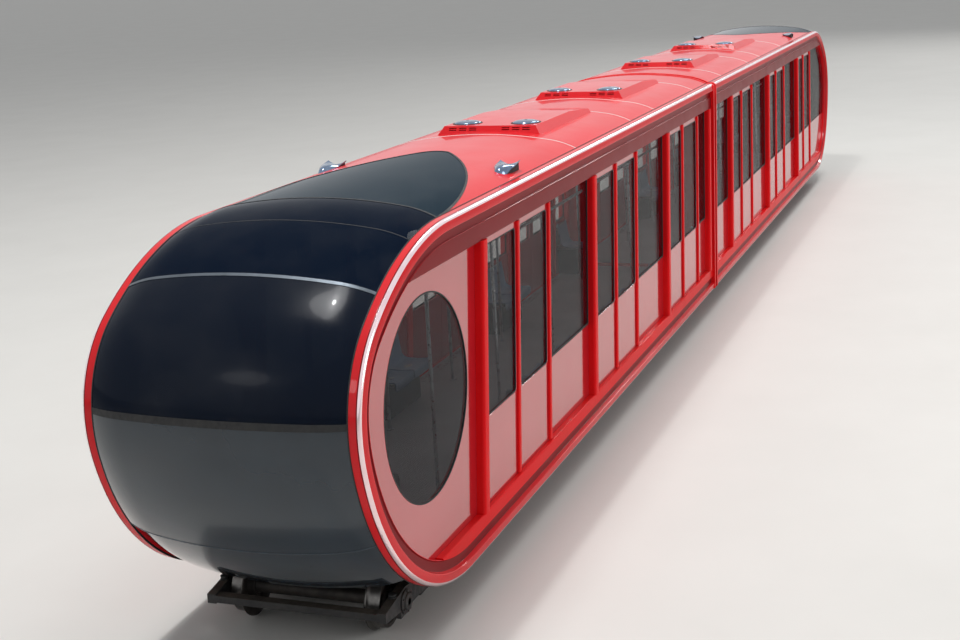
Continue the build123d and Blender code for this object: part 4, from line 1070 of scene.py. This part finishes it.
def make_side_frames(section):
    """Header band, and the ledge with its leaning posts and door jambs."""
    header, builder = Builder(), Builder()
    low, high = LEDGE_TOP - 0.003, HEADER_BOTTOM + 0.003
    half = POST_WIDTH / 2
    plan = [
        (-half, INNER_Y, 0),
        (half, INNER_Y, 0),
        (half, HALF - POST_OUT, 0.022),
        (-half, HALF - POST_OUT, 0.03),
    ]
    for side in (-1, 1):
        rail(section, header, side, True)
        rail(section, builder, side, False)
        for foot in section.bays + ([JOINT_POST] if section.lower else []):
            place = lambda a, y, z: (leaning(foot, z) + a, side * y, z)
            builder.prism(rounded(plan, 6), place, low, high)
        for foot in section.bays:
            start = foot + DOOR_END + DOOR_GAP
            spec = (start, start + JAMB_WIDTH, low, high)
            leaning_plate(builder, side, spec, JAMB_OUT, RING_BACK - JAMB_OUT)
    # The header band takes the darker red: painted shade.
    section.add(header, "header_band", SHADED_RED)
    section.add(builder, "side_framing", RED, ["side_frames"])


def end_outline(section, low, high):
    """Outline of the nose's end panel, nose drawn downhill: round the ring and up the last post."""
    if section.lower:
        end_foot = section.bays[0] - POST_WIDTH / 2
    else:
        end_foot = section.bays[-1] + DOOR_END + DOOR_GAP + JAMB_WIDTH
    depth = RING_DEPTH - 0.003

    def meet(level):
        """Where the ring's inner edge passes a level."""
        z, radius, start = NOSE_ARCS[3][1:4]
        arc = NOSE_ARCS[3]
        if level > NOSE_HEIGHT:
            arc = NOSE_ARCS[0]
        elif level > z + (radius - depth) * math.sin(math.radians(start)):
            arc = NOSE_ARCS[2]
        return inner_x(arc, level, depth), level

    round_ring = [(x - nx * depth, z - nz * depth) for x, z, nx, nz in stations(90, 270, 3)]
    points = [(x, z) for x, z in round_ring if low <= z <= high]
    back = [(section.flip * leaning(end_foot, z), z) for z in (low, high)]
    return [meet(high)] + points + [meet(low)] + back


def cast(outline, centre, angle):
    """Point where a ray from the centre leaves an outline."""
    across, up = polar(1.0, angle)
    best = math.inf
    for (ax, az), (bx, bz) in zip(outline, outline[1:] + outline[:1]):
        ex, ez = bx - ax, bz - az
        cross = across * ez - up * ex
        if abs(cross) < 1e-12:
            continue
        reach = ((ax - centre[0]) * ez - (az - centre[1]) * ex) / cross
        share = ((ax - centre[0]) * up - (az - centre[1]) * across) / cross
        if reach > 0 and -1e-9 <= share <= 1 + 1e-9:
            best = min(best, reach)
    return centre[0] + across * best, centre[1] + up * best


def egg(grow=0.0):
    """Outline of the egg-shaped window, grown by a margin."""
    turns = [polar(1.0, 2 * math.pi * k / EYE_STEPS) for k in range(EYE_STEPS)]
    length, height = EYE_HALF_LENGTH + grow, EYE_HALF_HEIGHT + grow
    return [(EYE_X + across * length, EYE_HEIGHT + up * height) for across, up in turns]


def eye_panel(section, builder, side):
    """End panel of the downhill nose with its egg-shaped opening."""
    outline = end_outline(section, LEDGE_TOP, HEADER_BOTTOM)
    angles = [2 * math.pi * k / EYE_STEPS for k in range(EYE_STEPS)]
    for x, z in (outline[0], outline[-1], outline[-2], outline[-3]):
        angles.append(math.atan2(z - EYE_HEIGHT, x - EYE_X) % (2 * math.pi))
    inner, outer = [], []
    for angle in sorted(angles):
        across, up = polar(1.0, angle)
        reach = 1 / math.hypot(across / EYE_HALF_LENGTH, up / EYE_HALF_HEIGHT)
        inner.append((EYE_X + across * reach, EYE_HEIGHT + up * reach))
        outer.append(cast(outline, (EYE_X, EYE_HEIGHT), angle))
    front = HALF - PANEL_OUT
    builder.band(inner, outer, facing(side, section.flip), front, front - PANEL_THICKNESS)


def make_side_panels(section):
    """Lower panels, fixed glass and their rubbers."""
    panels, glass, rubber = Builder(), Builder(), Builder()
    seal_out = PANEL_OUT - 0.002
    front = HALF - GLASS_OUT
    for side in (-1, 1):
        for start, end in section.fixed_zones():
            pane = (start + FIT, end - FIT, SILL, HEADER_BOTTOM)
            seal = (start, end, SILL - SEAL_DROP, HEADER_BOTTOM)
            hole = (start + SEAL_WIDTH, end - SEAL_WIDTH, SILL + SEAL_RISE, HEADER_BOTTOM - SEAL_WIDTH)
            leaning_plate(panels, side, (start, end, LEDGE_TOP, SILL), PANEL_OUT, PANEL_THICKNESS)
            leaning_plate(glass, side, pane, GLASS_OUT, GLASS_THICKNESS)
            leaning_frame(rubber, side, seal, hole, seal_out, SEAL_DEPTH, SEAL_CORNER)
        place = facing(side, section.flip)
        if section.lower:
            eye_panel(section, panels, side)
            glass.prism(egg(-FIT), place, front - GLASS_THICKNESS, front)
            rubber.band(egg(-EYE_SEAL), egg(EYE_SEAL), place, HALF - seal_out, HALF - seal_out - SEAL_RISE)
            continue
        panel = end_outline(section, LEDGE_TOP, SILL)
        panels.prism(panel, place, HALF - PANEL_OUT - PANEL_THICKNESS, HALF - PANEL_OUT)
        pane = end_outline(section, SILL, HEADER_BOTTOM)
        glass.prism(pane, place, front - GLASS_THICKNESS, front)
    section.add(panels, "lower_panels", PANEL_RED, ["side_panels"], bevel=0.003)
    section.add(glass, "side_windows", SIDE_GLASS, ["side_glass"])
    section.add(rubber, "window_rubbers", RUBBER)


def make_doors(section):
    """Plug door leaves with their windows, gaskets, edge rubbers and upright bars."""
    leaves, panes, rubber, bars = Builder(), Builder(), Builder(), Builder()
    top = HEADER_BOTTOM - DOOR_HEAD_GAP
    low = LEDGE_TOP + 0.004
    for side in (-1, 1):
        for start, end in section.leaf_spans():
            window = (start + FRONT_STILE, end - REAR_STILE, SILL, top - TOP_STILE)
            pane, gasket = [
                (window[0] + inset, window[1] - inset, window[2] + inset, window[3] - inset)
                for inset in (FIT, GASKET)
            ]
            leaf = (start, end, low, top)
            leaning_frame(leaves, side, leaf, window, DOOR_OUT, DOOR_THICKNESS, DOOR_CORNER, 7)
            leaning_plate(panes, side, pane, DOOR_OUT + GASKET, GLASS_THICKNESS, DOOR_CORNER)
            leaning_frame(rubber, side, window, gasket, DOOR_OUT + 0.004, 0.008, 0.034, 7)
            bar = [
                (end - BAR_START - BAR_WIDTH, HALF - DOOR_OUT - 0.002, 0),
                (end - BAR_START, HALF - DOOR_OUT - 0.002, 0),
                (end - BAR_START, HALF - BAR_OUT, 0.012),
                (end - BAR_START - BAR_WIDTH, HALF - BAR_OUT, 0.016),
            ]
            bars.prism(rounded(bar, 5), leaning_bar(side), LEDGE_TOP + 0.012, top - 0.006)
            for edge in (start - 0.004, end - 0.002):
                spec = (edge, edge + EDGE_RUBBER, low, top)
                leaning_plate(rubber, side, spec, DOOR_OUT + EDGE_RUBBER, 0.03)
    section.add(leaves, "door_leaves", PANEL_RED, ["doors"], bevel=0.004)
    section.add(panes, "door_windows", SIDE_GLASS, ["door_glass"])
    section.add(rubber, "door_seals", RUBBER)
    section.add(bars, "door_stiles", RED)


def unit_shell(section, builder, side, drop, depth):
    """Chrome hood of a roof unit: a round snout that opens uphill into two upswept side fins."""
    front = NOSE_X + UNIT_FROM_NOSE - UNIT_LENGTH / 2
    upper, lower = [], []
    for step in range(UNIT_STEPS + 1):
        share = step / UNIT_STEPS
        x = section.flip * (front + UNIT_LENGTH * share)
        snout = math.sqrt(max(0.0, 1 - (1 - min(1.0, share / SNOUT_END)) ** 2))
        spread = TIP_WIDTH + (1 - TIP_WIDTH) * min(1.0, share / SPREAD_END) ** 0.6
        half = (UNIT_WIDTH / 2 - drop) * spread
        middle = SNOUT_FOOT + SNOUT_RISE * snout - BACK_FALL * max(0.0, share - SNOUT_END)
        fin = FIN_RISE * max(0.0, share - FIN_START) ** 0.8
        fall = SIDE_FALL + TIP_FALL * (1 - share)
        upper.append([])
        lower.append([])
        for k in range(UNIT_SPAN + 1):
            turn = 2 * k / UNIT_SPAN - 1
            y = UNIT_Y + half * turn
            z = middle - fall * abs(turn) ** 3 + fin * abs(turn) ** 2.5
            z = min(z, UNIT_HEIGHT) - drop
            upper[-1].append((x, side * y, RING_TOP + z))
            lower[-1].append((x, side * y, RING_TOP + max(skin_at(y)[1] - 0.01, z - depth)))
    builder.shell(upper, lower)


def make_roof_fittings(section):
    """Pods, vent domes and their rims, roof units and the roof's cross seams."""
    section.copy("roof_pods", "_shells", ROOF_RED, 0.006)
    domes, rims, shells, cores, seams = [Builder() for _ in range(5)]
    cap = []
    for k in range(DOME_STEPS):
        turn = k / DOME_STEPS * math.pi / 2
        height = DOME_LIP + (DOME_HEIGHT - DOME_LIP) * math.sin(turn)
        cap.append((height, DOME_RADIUS * math.cos(turn) ** 0.9))
    cap = [(-0.002, DOME_RADIUS)] + cap + [(DOME_HEIGHT, 0)]
    rim = [(-0.001, DOME_RADIUS + 0.022), (0.004, DOME_RADIUS + 0.02), (0.006, DOME_RADIUS - 0.004)]
    for start in section.pod_starts():
        for y in (-DOME_Y, DOME_Y):
            domes.lathe(cap, (start + DOME_OFFSET, y, POD_TOP), (0, 0, 1), 40)
            rims.lathe(rim, (start + DOME_OFFSET, y, POD_TOP), (0, 0, 1), 40)
        for offset in ROOF_SEAMS:
            rows = []
            for step in (-0.006, -0.003, 0.003, 0.006):
                x = start + offset + section.flip * step
                line = [skin_at(y, 0.001 if abs(step) > 0.005 else -0.003) for y in ROOF_Y]
                rows.append([(x, y, RING_TOP + out) for y, out in line])
            seams.grid(rows)
    for side in (-1, 1):
        unit_shell(section, shells, side, 0.0, HOOD_THICKNESS)
        unit_shell(section, cores, side, CORE_DROP, CORE_DEPTH)
    section.add(domes, "vent_domes", CHROME, ["roof_fittings"])
    section.add(rims, "vent_rims", RUBBER)
    section.add(shells, "roof_units", CHROME, ["roof_fittings"], smooth=40)
    section.add(cores, "unit_cores", RUBBER)
    section.add(seams, "roof_seams", LINING, slot="grey_metal", smooth=60)


def make_ends(section):
    section.copy("end_hoop", "_rounded", RED, 0.006)
    section.copy("gangway_seal", "_lip", RUBBER, 0.006)


def make_floor(section):
    """Floor with vinyl on top and steel below, tread strips at the doors and door sills."""
    plate = section.copy("floor", "_plate", VINYL, 0.003)
    plate.data.materials.append(STEEL)
    for polygon in plate.data.polygons:
        if polygon.normal.z < 0.5:
            polygon.material_index = 1
    treads, grips = Builder(), Builder()
    for side in (-1, 1):
        for foot in section.bays:
            start, end = foot + 0.09, foot + DOOR_END - 0.02
            for y in (INNER_Y - place for place in TREAD_PLACES):
                strip = rectangle(start, end, y - TREAD_WIDTH / 2, y + TREAD_WIDTH / 2, 0.004, steps=2)
                treads.prism(strip, lying(side), LEDGE_TOP - 0.001, LEDGE_TOP + 0.004)
            edges = sorted(side * (HALF - inset) for inset in DOOR_SILL)
            grips.prism(rectangle(start, end, *edges), lying(1), LEDGE_TOP - 0.002, LEDGE_TOP + 0.003)
    section.add(treads, "tread_strips", TRIM)
    section.add(grips, "door_sills", RED, bevel=0.001)


def make_underframe(section):
    """Beams, equipment cases with their lids, and pipes along the floor."""
    centres = [x for x in BOGIES.values() if (x < 0) == section.lower]
    pins = [(x, BOGIE_PIN_RADIUS) for x in centres]
    if not section.lower:
        pins.append((PIVOT_X, PIVOT_RADIUS))
    section.copy("underframe", "_beams", STEEL, 0.005, pins)
    section.copy("equipment", "_cases", STEEL, 0.006)
    lids, bolts, pipes = Builder(), Builder(), Builder()
    out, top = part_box(section.node("equipment"))[1].yz
    # Cases: start from the middle between the bogies, length, depth
    for offset, length, depth in ((-2.15, 1.9, 0.19), (0.25, 1.3, 0.17)):
        start = sum(centres) / 2 + offset + LID_MARGIN
        count = round(length / LID_PITCH)
        pitch = (length - 2 * LID_MARGIN) / count
        for side in (-1, 1):
            for k in range(count):
                a, b = start + pitch * k, start + pitch * (k + 1) - LID_GAP
                lid = rectangle(a, b, top - depth + LID_FOOT, top - LID_MARGIN, 0.012, steps=3)
                lids.prism(lid, facing(side), out - 0.001, out + LID_OUT)
                for x in (a + LID_BOLT_INSET, b - LID_BOLT_INSET):
                    for z in (top - depth + 0.06, top - 0.045):
                        bolts.hexagon((x, side * (out + 0.005), z), (0, side, 0), 0.008, 0.006)
                grip = [(-0.06, 0.004), (-0.06, 0.022), (0.06, 0.022), (0.06, 0.004)]
                path = [((a + b) / 2 + x, side * (out + y), top - 0.07) for x, y in grip]
                lids.tube(path, 0.005, 8)
    section.add(lids, "case_lids", STEEL)
    section.add(bolts, "case_bolts", TRIM)
    ends = section.run(PIPES_FROM_NOSE, PIPES_TO_JOINT)
    # Pipes: y, radius, z
    for y, radius, z in ((0.2, 0.014, 0.535), (0.245, 0.01, 0.54), (-0.2, 0.02, 0.53)):
        pipes.tube([(ends[0], y, z), (ends[1], y, z)], radius, 10)
        x = ends[0] + CLAMP_START
        reach = radius + 0.006
        while x < ends[1]:
            clamp = rectangle(x, x + 0.03, y - reach, y + reach)
            pipes.prism(clamp, lying(1), z - radius - 0.004, CLAMP_TOP)
            x += CLAMP_PITCH
    section.add(pipes, "floor_pipes", STEEL)


# Turned details of a bogie, (along, radius)
BOX_COVER = [
    (-0.002, 0.1), (0.012, 0.1), (0.016, 0.094), (0.02, 0.075), (0.034, 0.068), (0.038, 0.058), (0.038, 0)
]
BUFFER = [
    (0, 0), (0, 0.036), (0.008, 0.036), (0.012, 0.028), (0.02, 0.028), (0.024, 0.036), (0.032, 0.036),
    (0.036, 0.028), (0.044, 0),
]
BEARER_PAD = [(0, 0.05), (0.018, 0.055), (0.022, 0.05), (0.03, 0.055), (0.034, 0.05), (0.04, 0.052)]
BRAKE_STUD = [(0, 0), (0, 0.02), (0.03, 0.02), (0.034, 0.014), (0.05, 0.014), (0.05, 0)]

# Brake hose from its stud to the middle of the frame: along, across, height
BRAKE_HOSE = [
    (BRAKE_X + 0.02, BRAKE_Y, BRAKE_Z), (0.33, 0.6, 0.34), (0.33, 0.3, 0.36), (0.17, 0.22, 0.36)
]


def make_bogie(name, x):
    """Bogie frame with its axle box covers, buffers, bearer pads, bolts and brake hoses."""
    from_node(name + "_frame", "_casting", STEEL, 0.007)
    caps, bolts, pads, springs = Builder(), Builder(), Builder(), Builder()
    for side in (-1, 1):
        out = (0, side, 0)
        for axle in (x - WHEELBASE / 2, x + WHEELBASE / 2):
            caps.lathe(BOX_COVER, (axle, side * FRAME_OUTER, AXLE_Z), out, 40)
            for k in range(6):
                a, b = polar(COVER_BOLTS, math.radians(60 * k + 30))
                place = (axle + a, side * (FRAME_OUTER + 0.016), AXLE_Z + b)
                bolts.hexagon(place, out, 0.009, 0.01)
            for step in (-BUFFER_OFFSET, BUFFER_OFFSET):
                place = (axle + step, side * FRAME_Y, BUFFER_FOOT - abs(step) * 0.09)
                springs.lathe(BUFFER, place, (0, 0, 1), 20)
        for k in range(5):
            for z in FRAME_BOLT_ROWS:
                along = x + FRAME_BOLT_START + FRAME_BOLT_PITCH * k
                bolts.hexagon((along, side * FRAME_OUTER, z), out, 0.01)
        pads.lathe(BEARER_PAD, (x, side * FRAME_Y, PAD_FOOT), (0, 0, 1), 28)
        for end in (-1, 1):
            stud = (x + end * BRAKE_X, side * BRAKE_Y, BRAKE_Z)
            bolts.lathe(BRAKE_STUD, stud, (end, 0, 0), 16)
            caps.tube([(x + end * a, side * y, z) for a, y, z in BRAKE_HOSE], 0.009, 8)
    caps.piece(name + "_box_covers", STEEL, name)
    bolts.piece(name + "_bolts", WHEEL, name)
    pads.piece(name + "_bearer_pads", RUBBER, name)
    springs.piece(name + "_buffers", RUBBER, name)


def make_wheelset(index, x):
    """Axle with its two wheels as one turned piece, with worn treads."""
    name = f"wheelset_{index}"
    inner = GAUGE / 2 - WHEEL_INSET
    outer = inner + WHEEL_WIDTH
    # One half from the middle: place along the axle, radius
    half = [
        (0, 0.06), (inner - 0.03, 0.06), (inner - 0.015, 0.068), (inner - 0.015, 0.084),
        (inner - 0.009, 0.09), (inner + 0.03, 0.094), (inner + 0.046, 0.104), (inner + 0.05, 0.12),
        (inner + 0.05, 0.165), (inner + 0.042, 0.183), (inner + 0.008, 0.188), (inner, 0.194),
        (inner, 0.252), (inner + 0.004, 0.258), (inner + 0.012, 0.26), (inner + 0.02, 0.257),
        (inner + 0.028, 0.242), (inner + 0.034, 0.234), (inner + 0.044, 0.23), (outer - 0.006, 0.227),
        (outer - 0.001, 0.223), (outer, 0.194), (outer - 0.008, 0.188), (inner + 0.092, 0.183),
        (inner + 0.084, 0.165), (inner + 0.084, 0.12), (inner + 0.09, 0.104), (inner + 0.1, 0.096),
        (outer - 0.012, 0.09), (outer - 0.008, 0.086), (outer - 0.008, 0.05),
        (FRAME_OUTER - 0.001, 0.05), (FRAME_OUTER - 0.001, 0),
    ]
    builder, bolts = Builder(), Builder()
    profile = [(-y, radius) for y, radius in reversed(half[1:])] + half
    builder.lathe(profile, (x, 0, AXLE_Z), (0, 1, 0), 72)
    piece = builder.piece(name + "_turned", WHEEL, name, smooth=38, replaces=[name])
    piece.data.materials.append(TREAD)
    for polygon in piece.data.polygons:
        radius = math.hypot(polygon.center.x - x, polygon.center.z - AXLE_Z)
        if radius > TREAD_EDGE and inner + 0.012 < abs(polygon.center.y) < outer:
            polygon.material_index = 1
    for side in (-1, 1):
        for k in range(8):
            a, b = polar(WHEEL_BOLTS, math.radians(45 * k))
            bolts.hexagon((x + a, side * (inner + 0.083), AXLE_Z + b), (0, side, 0))
    bolts.piece(name + "_bolts", STEEL, name, slot="wheel_steel")


def make_rails(section):
    """Grab rails along the saloon, with stanchions from floor to roof beside the doors."""
    rails = Builder()
    ends = section.run(RAILS_FROM_NOSE, RAILS_TO_JOINT)
    roof = RING_TOP + skin_at(RAIL_Y)[1] - ROOF_THICKNESS - 0.004
    flange = [(0, 0.045), (0.006, 0.045), (0.01, 0.03), (0.014, STANCHION_RADIUS)]
    collar = [(-0.03, STANCHION_RADIUS), (-0.026, 0.023), (0.026, 0.023), (0.03, STANCHION_RADIUS)]
    for side in (-1, 1):
        y = side * RAIL_Y
        rails.tube([(ends[0], y, RAIL_Z), (ends[1], y, RAIL_Z)], RAIL_RADIUS, 14)
        for foot in section.bays:
            for x in (foot + place for place in STANCHION_PLACES):
                rails.tube([(x, y, LEDGE_TOP - 0.002), (x, y, roof)], STANCHION_RADIUS, 14)
                rails.lathe(flange, (x, y, LEDGE_TOP), (0, 0, 1), 24)
                if ends[0] < x < ends[1]:
                    rails.lathe(collar, (x, y, RAIL_Z), (0, 0, 1), 18)
    section.add(rails, "grab_rails", TRIM)


def make_desk(section):
    """Driver's desk with its knobs, lever and blank panels."""
    section.copy("desk", "_console", DESK, 0.02)
    knobs, screens = Builder(), Builder()
    along, fall = polar(1.0, DESK_SLOPE)

    def desk_point(run, y, lift):
        """Place on the desk's sloping top, run uphill from its front edge."""
        x = NOSE_X + DESK_FRONT + run * along + lift * fall
        return section.flip * x, y, DESK_EDGE_Z - run * fall + lift * along

    tilt = (section.flip * fall, 0, along)
    knob = [(0, 0.012), (0.006, 0.012), (0.01, 0.009), (0.011, 0)]
    for run in KNOB_ROWS:
        for column in range(KNOB_COLUMNS):
            place = desk_point(run, KNOB_START + KNOB_PITCH * column, 0.0)
            knobs.lathe(knob, place, tilt, 14)
    for y in SCREEN_PLACES:
        screen = rectangle(0.03, 0.26, y - SCREEN_HALF, y + SCREEN_HALF, 0.012, steps=3)
        screens.prism(screen, desk_point, -0.002, 0.006)
    lever = [
        (0, 0.03), (0.012, 0.03), (0.016, 0.008), (0.09, 0.007), (0.1, 0.022), (0.125, 0.024),
        (0.14, 0.016), (0.145, 0),
    ]
    knobs.lathe(lever, desk_point(*LEVER_PLACE, 0.0), tilt, 20)
    section.add(knobs, "desk_knobs", TRIM)
    section.add(screens, "desk_panels", NOSE_GLASS)


def make_seats(section):
    """Moulded shells in pairs on a closed plinth, facing across the car."""
    shells, plinths, feet = Builder(), Builder(), Builder()
    wall = INNER_Y - FIT
    base = LEDGE_TOP
    top = base + SEAT_HEIGHT
    # Shell line from the front lip to the top of the back: width, height, corner radius
    line = [
        (wall - SEAT_DEPTH, top - 0.09, 0.0),
        (wall - 0.432, top - 0.004, 0.03),
        (wall - 0.27, top - 0.018, 0.09),
        (wall - 0.085, top - 0.012, 0.08),
        (wall - 0.03, base + BACK_TOP, 0.0),
    ]
    path = rounded(line, 6)
    for foot in section.bays:
        start = foot + BENCH_START
        end = start + BENCH_LENGTH
        if section.lower and foot == LOWER_POSTS[-1]:
            end = JOINT_POST - POST_WIDTH / 2 - 0.02
        count = 2 if end - start > 0.8 else 1
        width = (end - start) / count
        for side in (-1, 1):
            for k in range(count):
                a = start + width * k + SHELL_GAP
                outer, inner = [], []
                for step in range(SHELL_STEPS + 1):
                    x = a + (width - 2 * SHELL_GAP) * step / SHELL_STEPS
                    off = abs(2 * step / SHELL_STEPS - 1)
                    dish = SHELL_DISH * (1 - off**2)
                    rise = SHELL_EDGE * off**6 - dish
                    for rows, depth in ((outer, 0), (inner, SHELL_THICKNESS)):
                        back = dish * 0.3 + depth
                        rows.append([(x, side * (y + back), z + rise - depth) for y, z in path])
                shells.shell(outer, inner)
            a, b = start + PLINTH_INSET, end - PLINTH_INSET
            plinth = rectangle(a, b, wall - PLINTH_DEPTH, wall, 0.03, 0)
            plinths.prism(plinth, lying(side), base, top - 0.045)
            a, b = start + TRAY_INSET, end - TRAY_INSET
            tray = rectangle(a, b, wall - TRAY_DEPTH, wall, 0.02, 0, 3)
            feet.prism(tray, lying(side), top - 0.05, top - 0.03)
            back = rectangle(a, b, *(base + z for z in BACK_PLATE), 0, 0.03, 3)
            feet.prism(back, facing(side), wall - 0.03, wall)
    section.add(shells, "seat_shells", SEAT_SHELL, ["seats"], smooth=50)
    section.add(plinths, "seat_plinths", DESK)
    section.add(feet, "seat_frames", TRIM)


def make_interior(section):
    """Ceiling, grab rails, seats and desk."""
    edges = glass_edge(0.1), section.joint_edge(HOOP_BACK + 0.01)
    flat_skin(section, "ceiling", *edges, -ROOF_THICKNESS - 0.006, 0.008, LINING)
    make_rails(section)
    make_seats(section)
    make_desk(section)


# Lamps: name, place, aim, width, power
LAMPS = [
    ("key", (-11.2, 2.6, 27.7), (-5, 0, 1.5), 7, 3000),
    ("glint", (-11.2, 2.7, 27.5), (-8, 0, 1.5), 1, 1600),
    ("side", (-6, -26, 9), (0, 0, 1.5), 12, 1650),
    ("far", (14, -5, 26), (9, 0, 2), 8, 2500),
    ("edge", (51, -9, 24), (0, 0, 3), 8, 3600),
    ("nose", (-33, 9, 13.5), (-12, 0, 2), 5, 250),
]
FLOOR_HALF = 400
FLOOR_Z = -0.0005


def make_stage():
    """Pale floor, plain world and soft lamps."""
    scene = bpy.context.scene
    corners = [(x * FLOOR_HALF, y * FLOOR_HALF, FLOOR_Z) for y in (-1, 1) for x in (-1, 1)]
    mesh = bpy.data.meshes.new("studio_floor")
    mesh.from_pydata(corners, [], [(0, 1, 3, 2)])
    ground = bpy.data.objects.new("studio_floor", mesh)
    scene.collection.objects.link(ground)
    plain = Finish("studio_floor")
    tone = plain.ramp(plain.noise(0.5, 4), (0.2, (0.7, 0.685, 0.65)), (0.8, (0.74, 0.725, 0.69)))
    rough = plain.ramp(plain.noise(3), (0.3, 0.7), (0.7, 0.8))
    mesh.materials.append(plain.connect(Base_Color=tone, Roughness=rough))

    world = bpy.data.worlds.new("studio")
    world.use_nodes = True
    scene.world = world
    tree = world.node_tree
    rays = new_node(tree, "LightPath").outputs
    lit = tree.nodes["Background"]
    lit.inputs["Color"].default_value = (0.95, 0.97, 1.0, 1)
    lit.inputs["Strength"].default_value = 0.36
    shown = new_node(tree, "Background", {"Color": (0.84, 0.86, 0.88, 1), "Strength": 1.0})
    # The plain backdrop shows to the camera, to gloss and through glass
    inputs = {0: rays["Is Camera Ray"], 1: rays["Is Glossy Ray"]}
    seen = new_node(tree, "Math", inputs, operation="MAXIMUM").outputs[0]
    inputs = {0: seen, 1: rays["Is Transmission Ray"]}
    seen = new_node(tree, "Math", inputs, operation="MAXIMUM").outputs[0]
    blend = new_node(tree, "MixShader", {0: seen, 1: lit.outputs[0], 2: shown.outputs[0]})
    tree.links.new(blend.outputs[0], tree.nodes["World Output"].inputs["Surface"])

    for name, place, aim, width, power in LAMPS:
        lamp = bpy.data.lights.new(name, "AREA")
        lamp.shape = "DISK"
        lamp.size = width
        lamp.energy = power
        holder = bpy.data.objects.new(name, lamp)
        holder.location = place
        holder.rotation_mode = "QUATERNION"
        holder.rotation_quaternion = (Vector(aim) - Vector(place)).to_track_quat("-Z", "Y")
        scene.collection.objects.link(holder)


# Camera at the photograph's place, with the picture's centre line a little off its axis
CAMERA_PLACE = (-21.84, -5.695, 5.514)
CAMERA_RIGHT = (0.3497, -0.9352, -0.0562)
CAMERA_AHEAD = (0.9256, 0.3541, -0.1337)
CAMERA_LENS = 55.09
CAMERA_SHIFT = -0.177


def make_camera():
    data = bpy.data.cameras.new("camera")
    data.lens = CAMERA_LENS
    data.sensor_width = 36
    data.shift_y = CAMERA_SHIFT
    data.clip_end = 1000
    camera = bpy.data.objects.new("camera", data)
    bpy.context.scene.collection.objects.link(camera)
    right = Vector(CAMERA_RIGHT).normalized()
    ahead = Vector(CAMERA_AHEAD).normalized()
    turn = Matrix((right, right.cross(ahead).normalized(), -ahead)).transposed().to_4x4()
    camera.matrix_world = Matrix.Translation(CAMERA_PLACE) @ turn
    bpy.context.scene.camera = camera


for part in (Section("lower"), Section("upper")):
    make_rings(part)
    make_skin(part)
    make_side_frames(part)
    make_side_panels(part)
    make_doors(part)
    make_roof_fittings(part)
    make_ends(part)
    make_floor(part)
    make_underframe(part)
    make_interior(part)
for number, (bogie, centre) in enumerate(BOGIES.items()):
    make_bogie(bogie, centre)
    make_wheelset(2 * number + 1, centre - WHEELBASE / 2)
    make_wheelset(2 * number + 2, centre + WHEELBASE / 2)
from_node("rope_socket", "_lug", STEEL)

make_stage()
make_camera()
bpy.context.scene.view_settings.view_transform = "Standard"
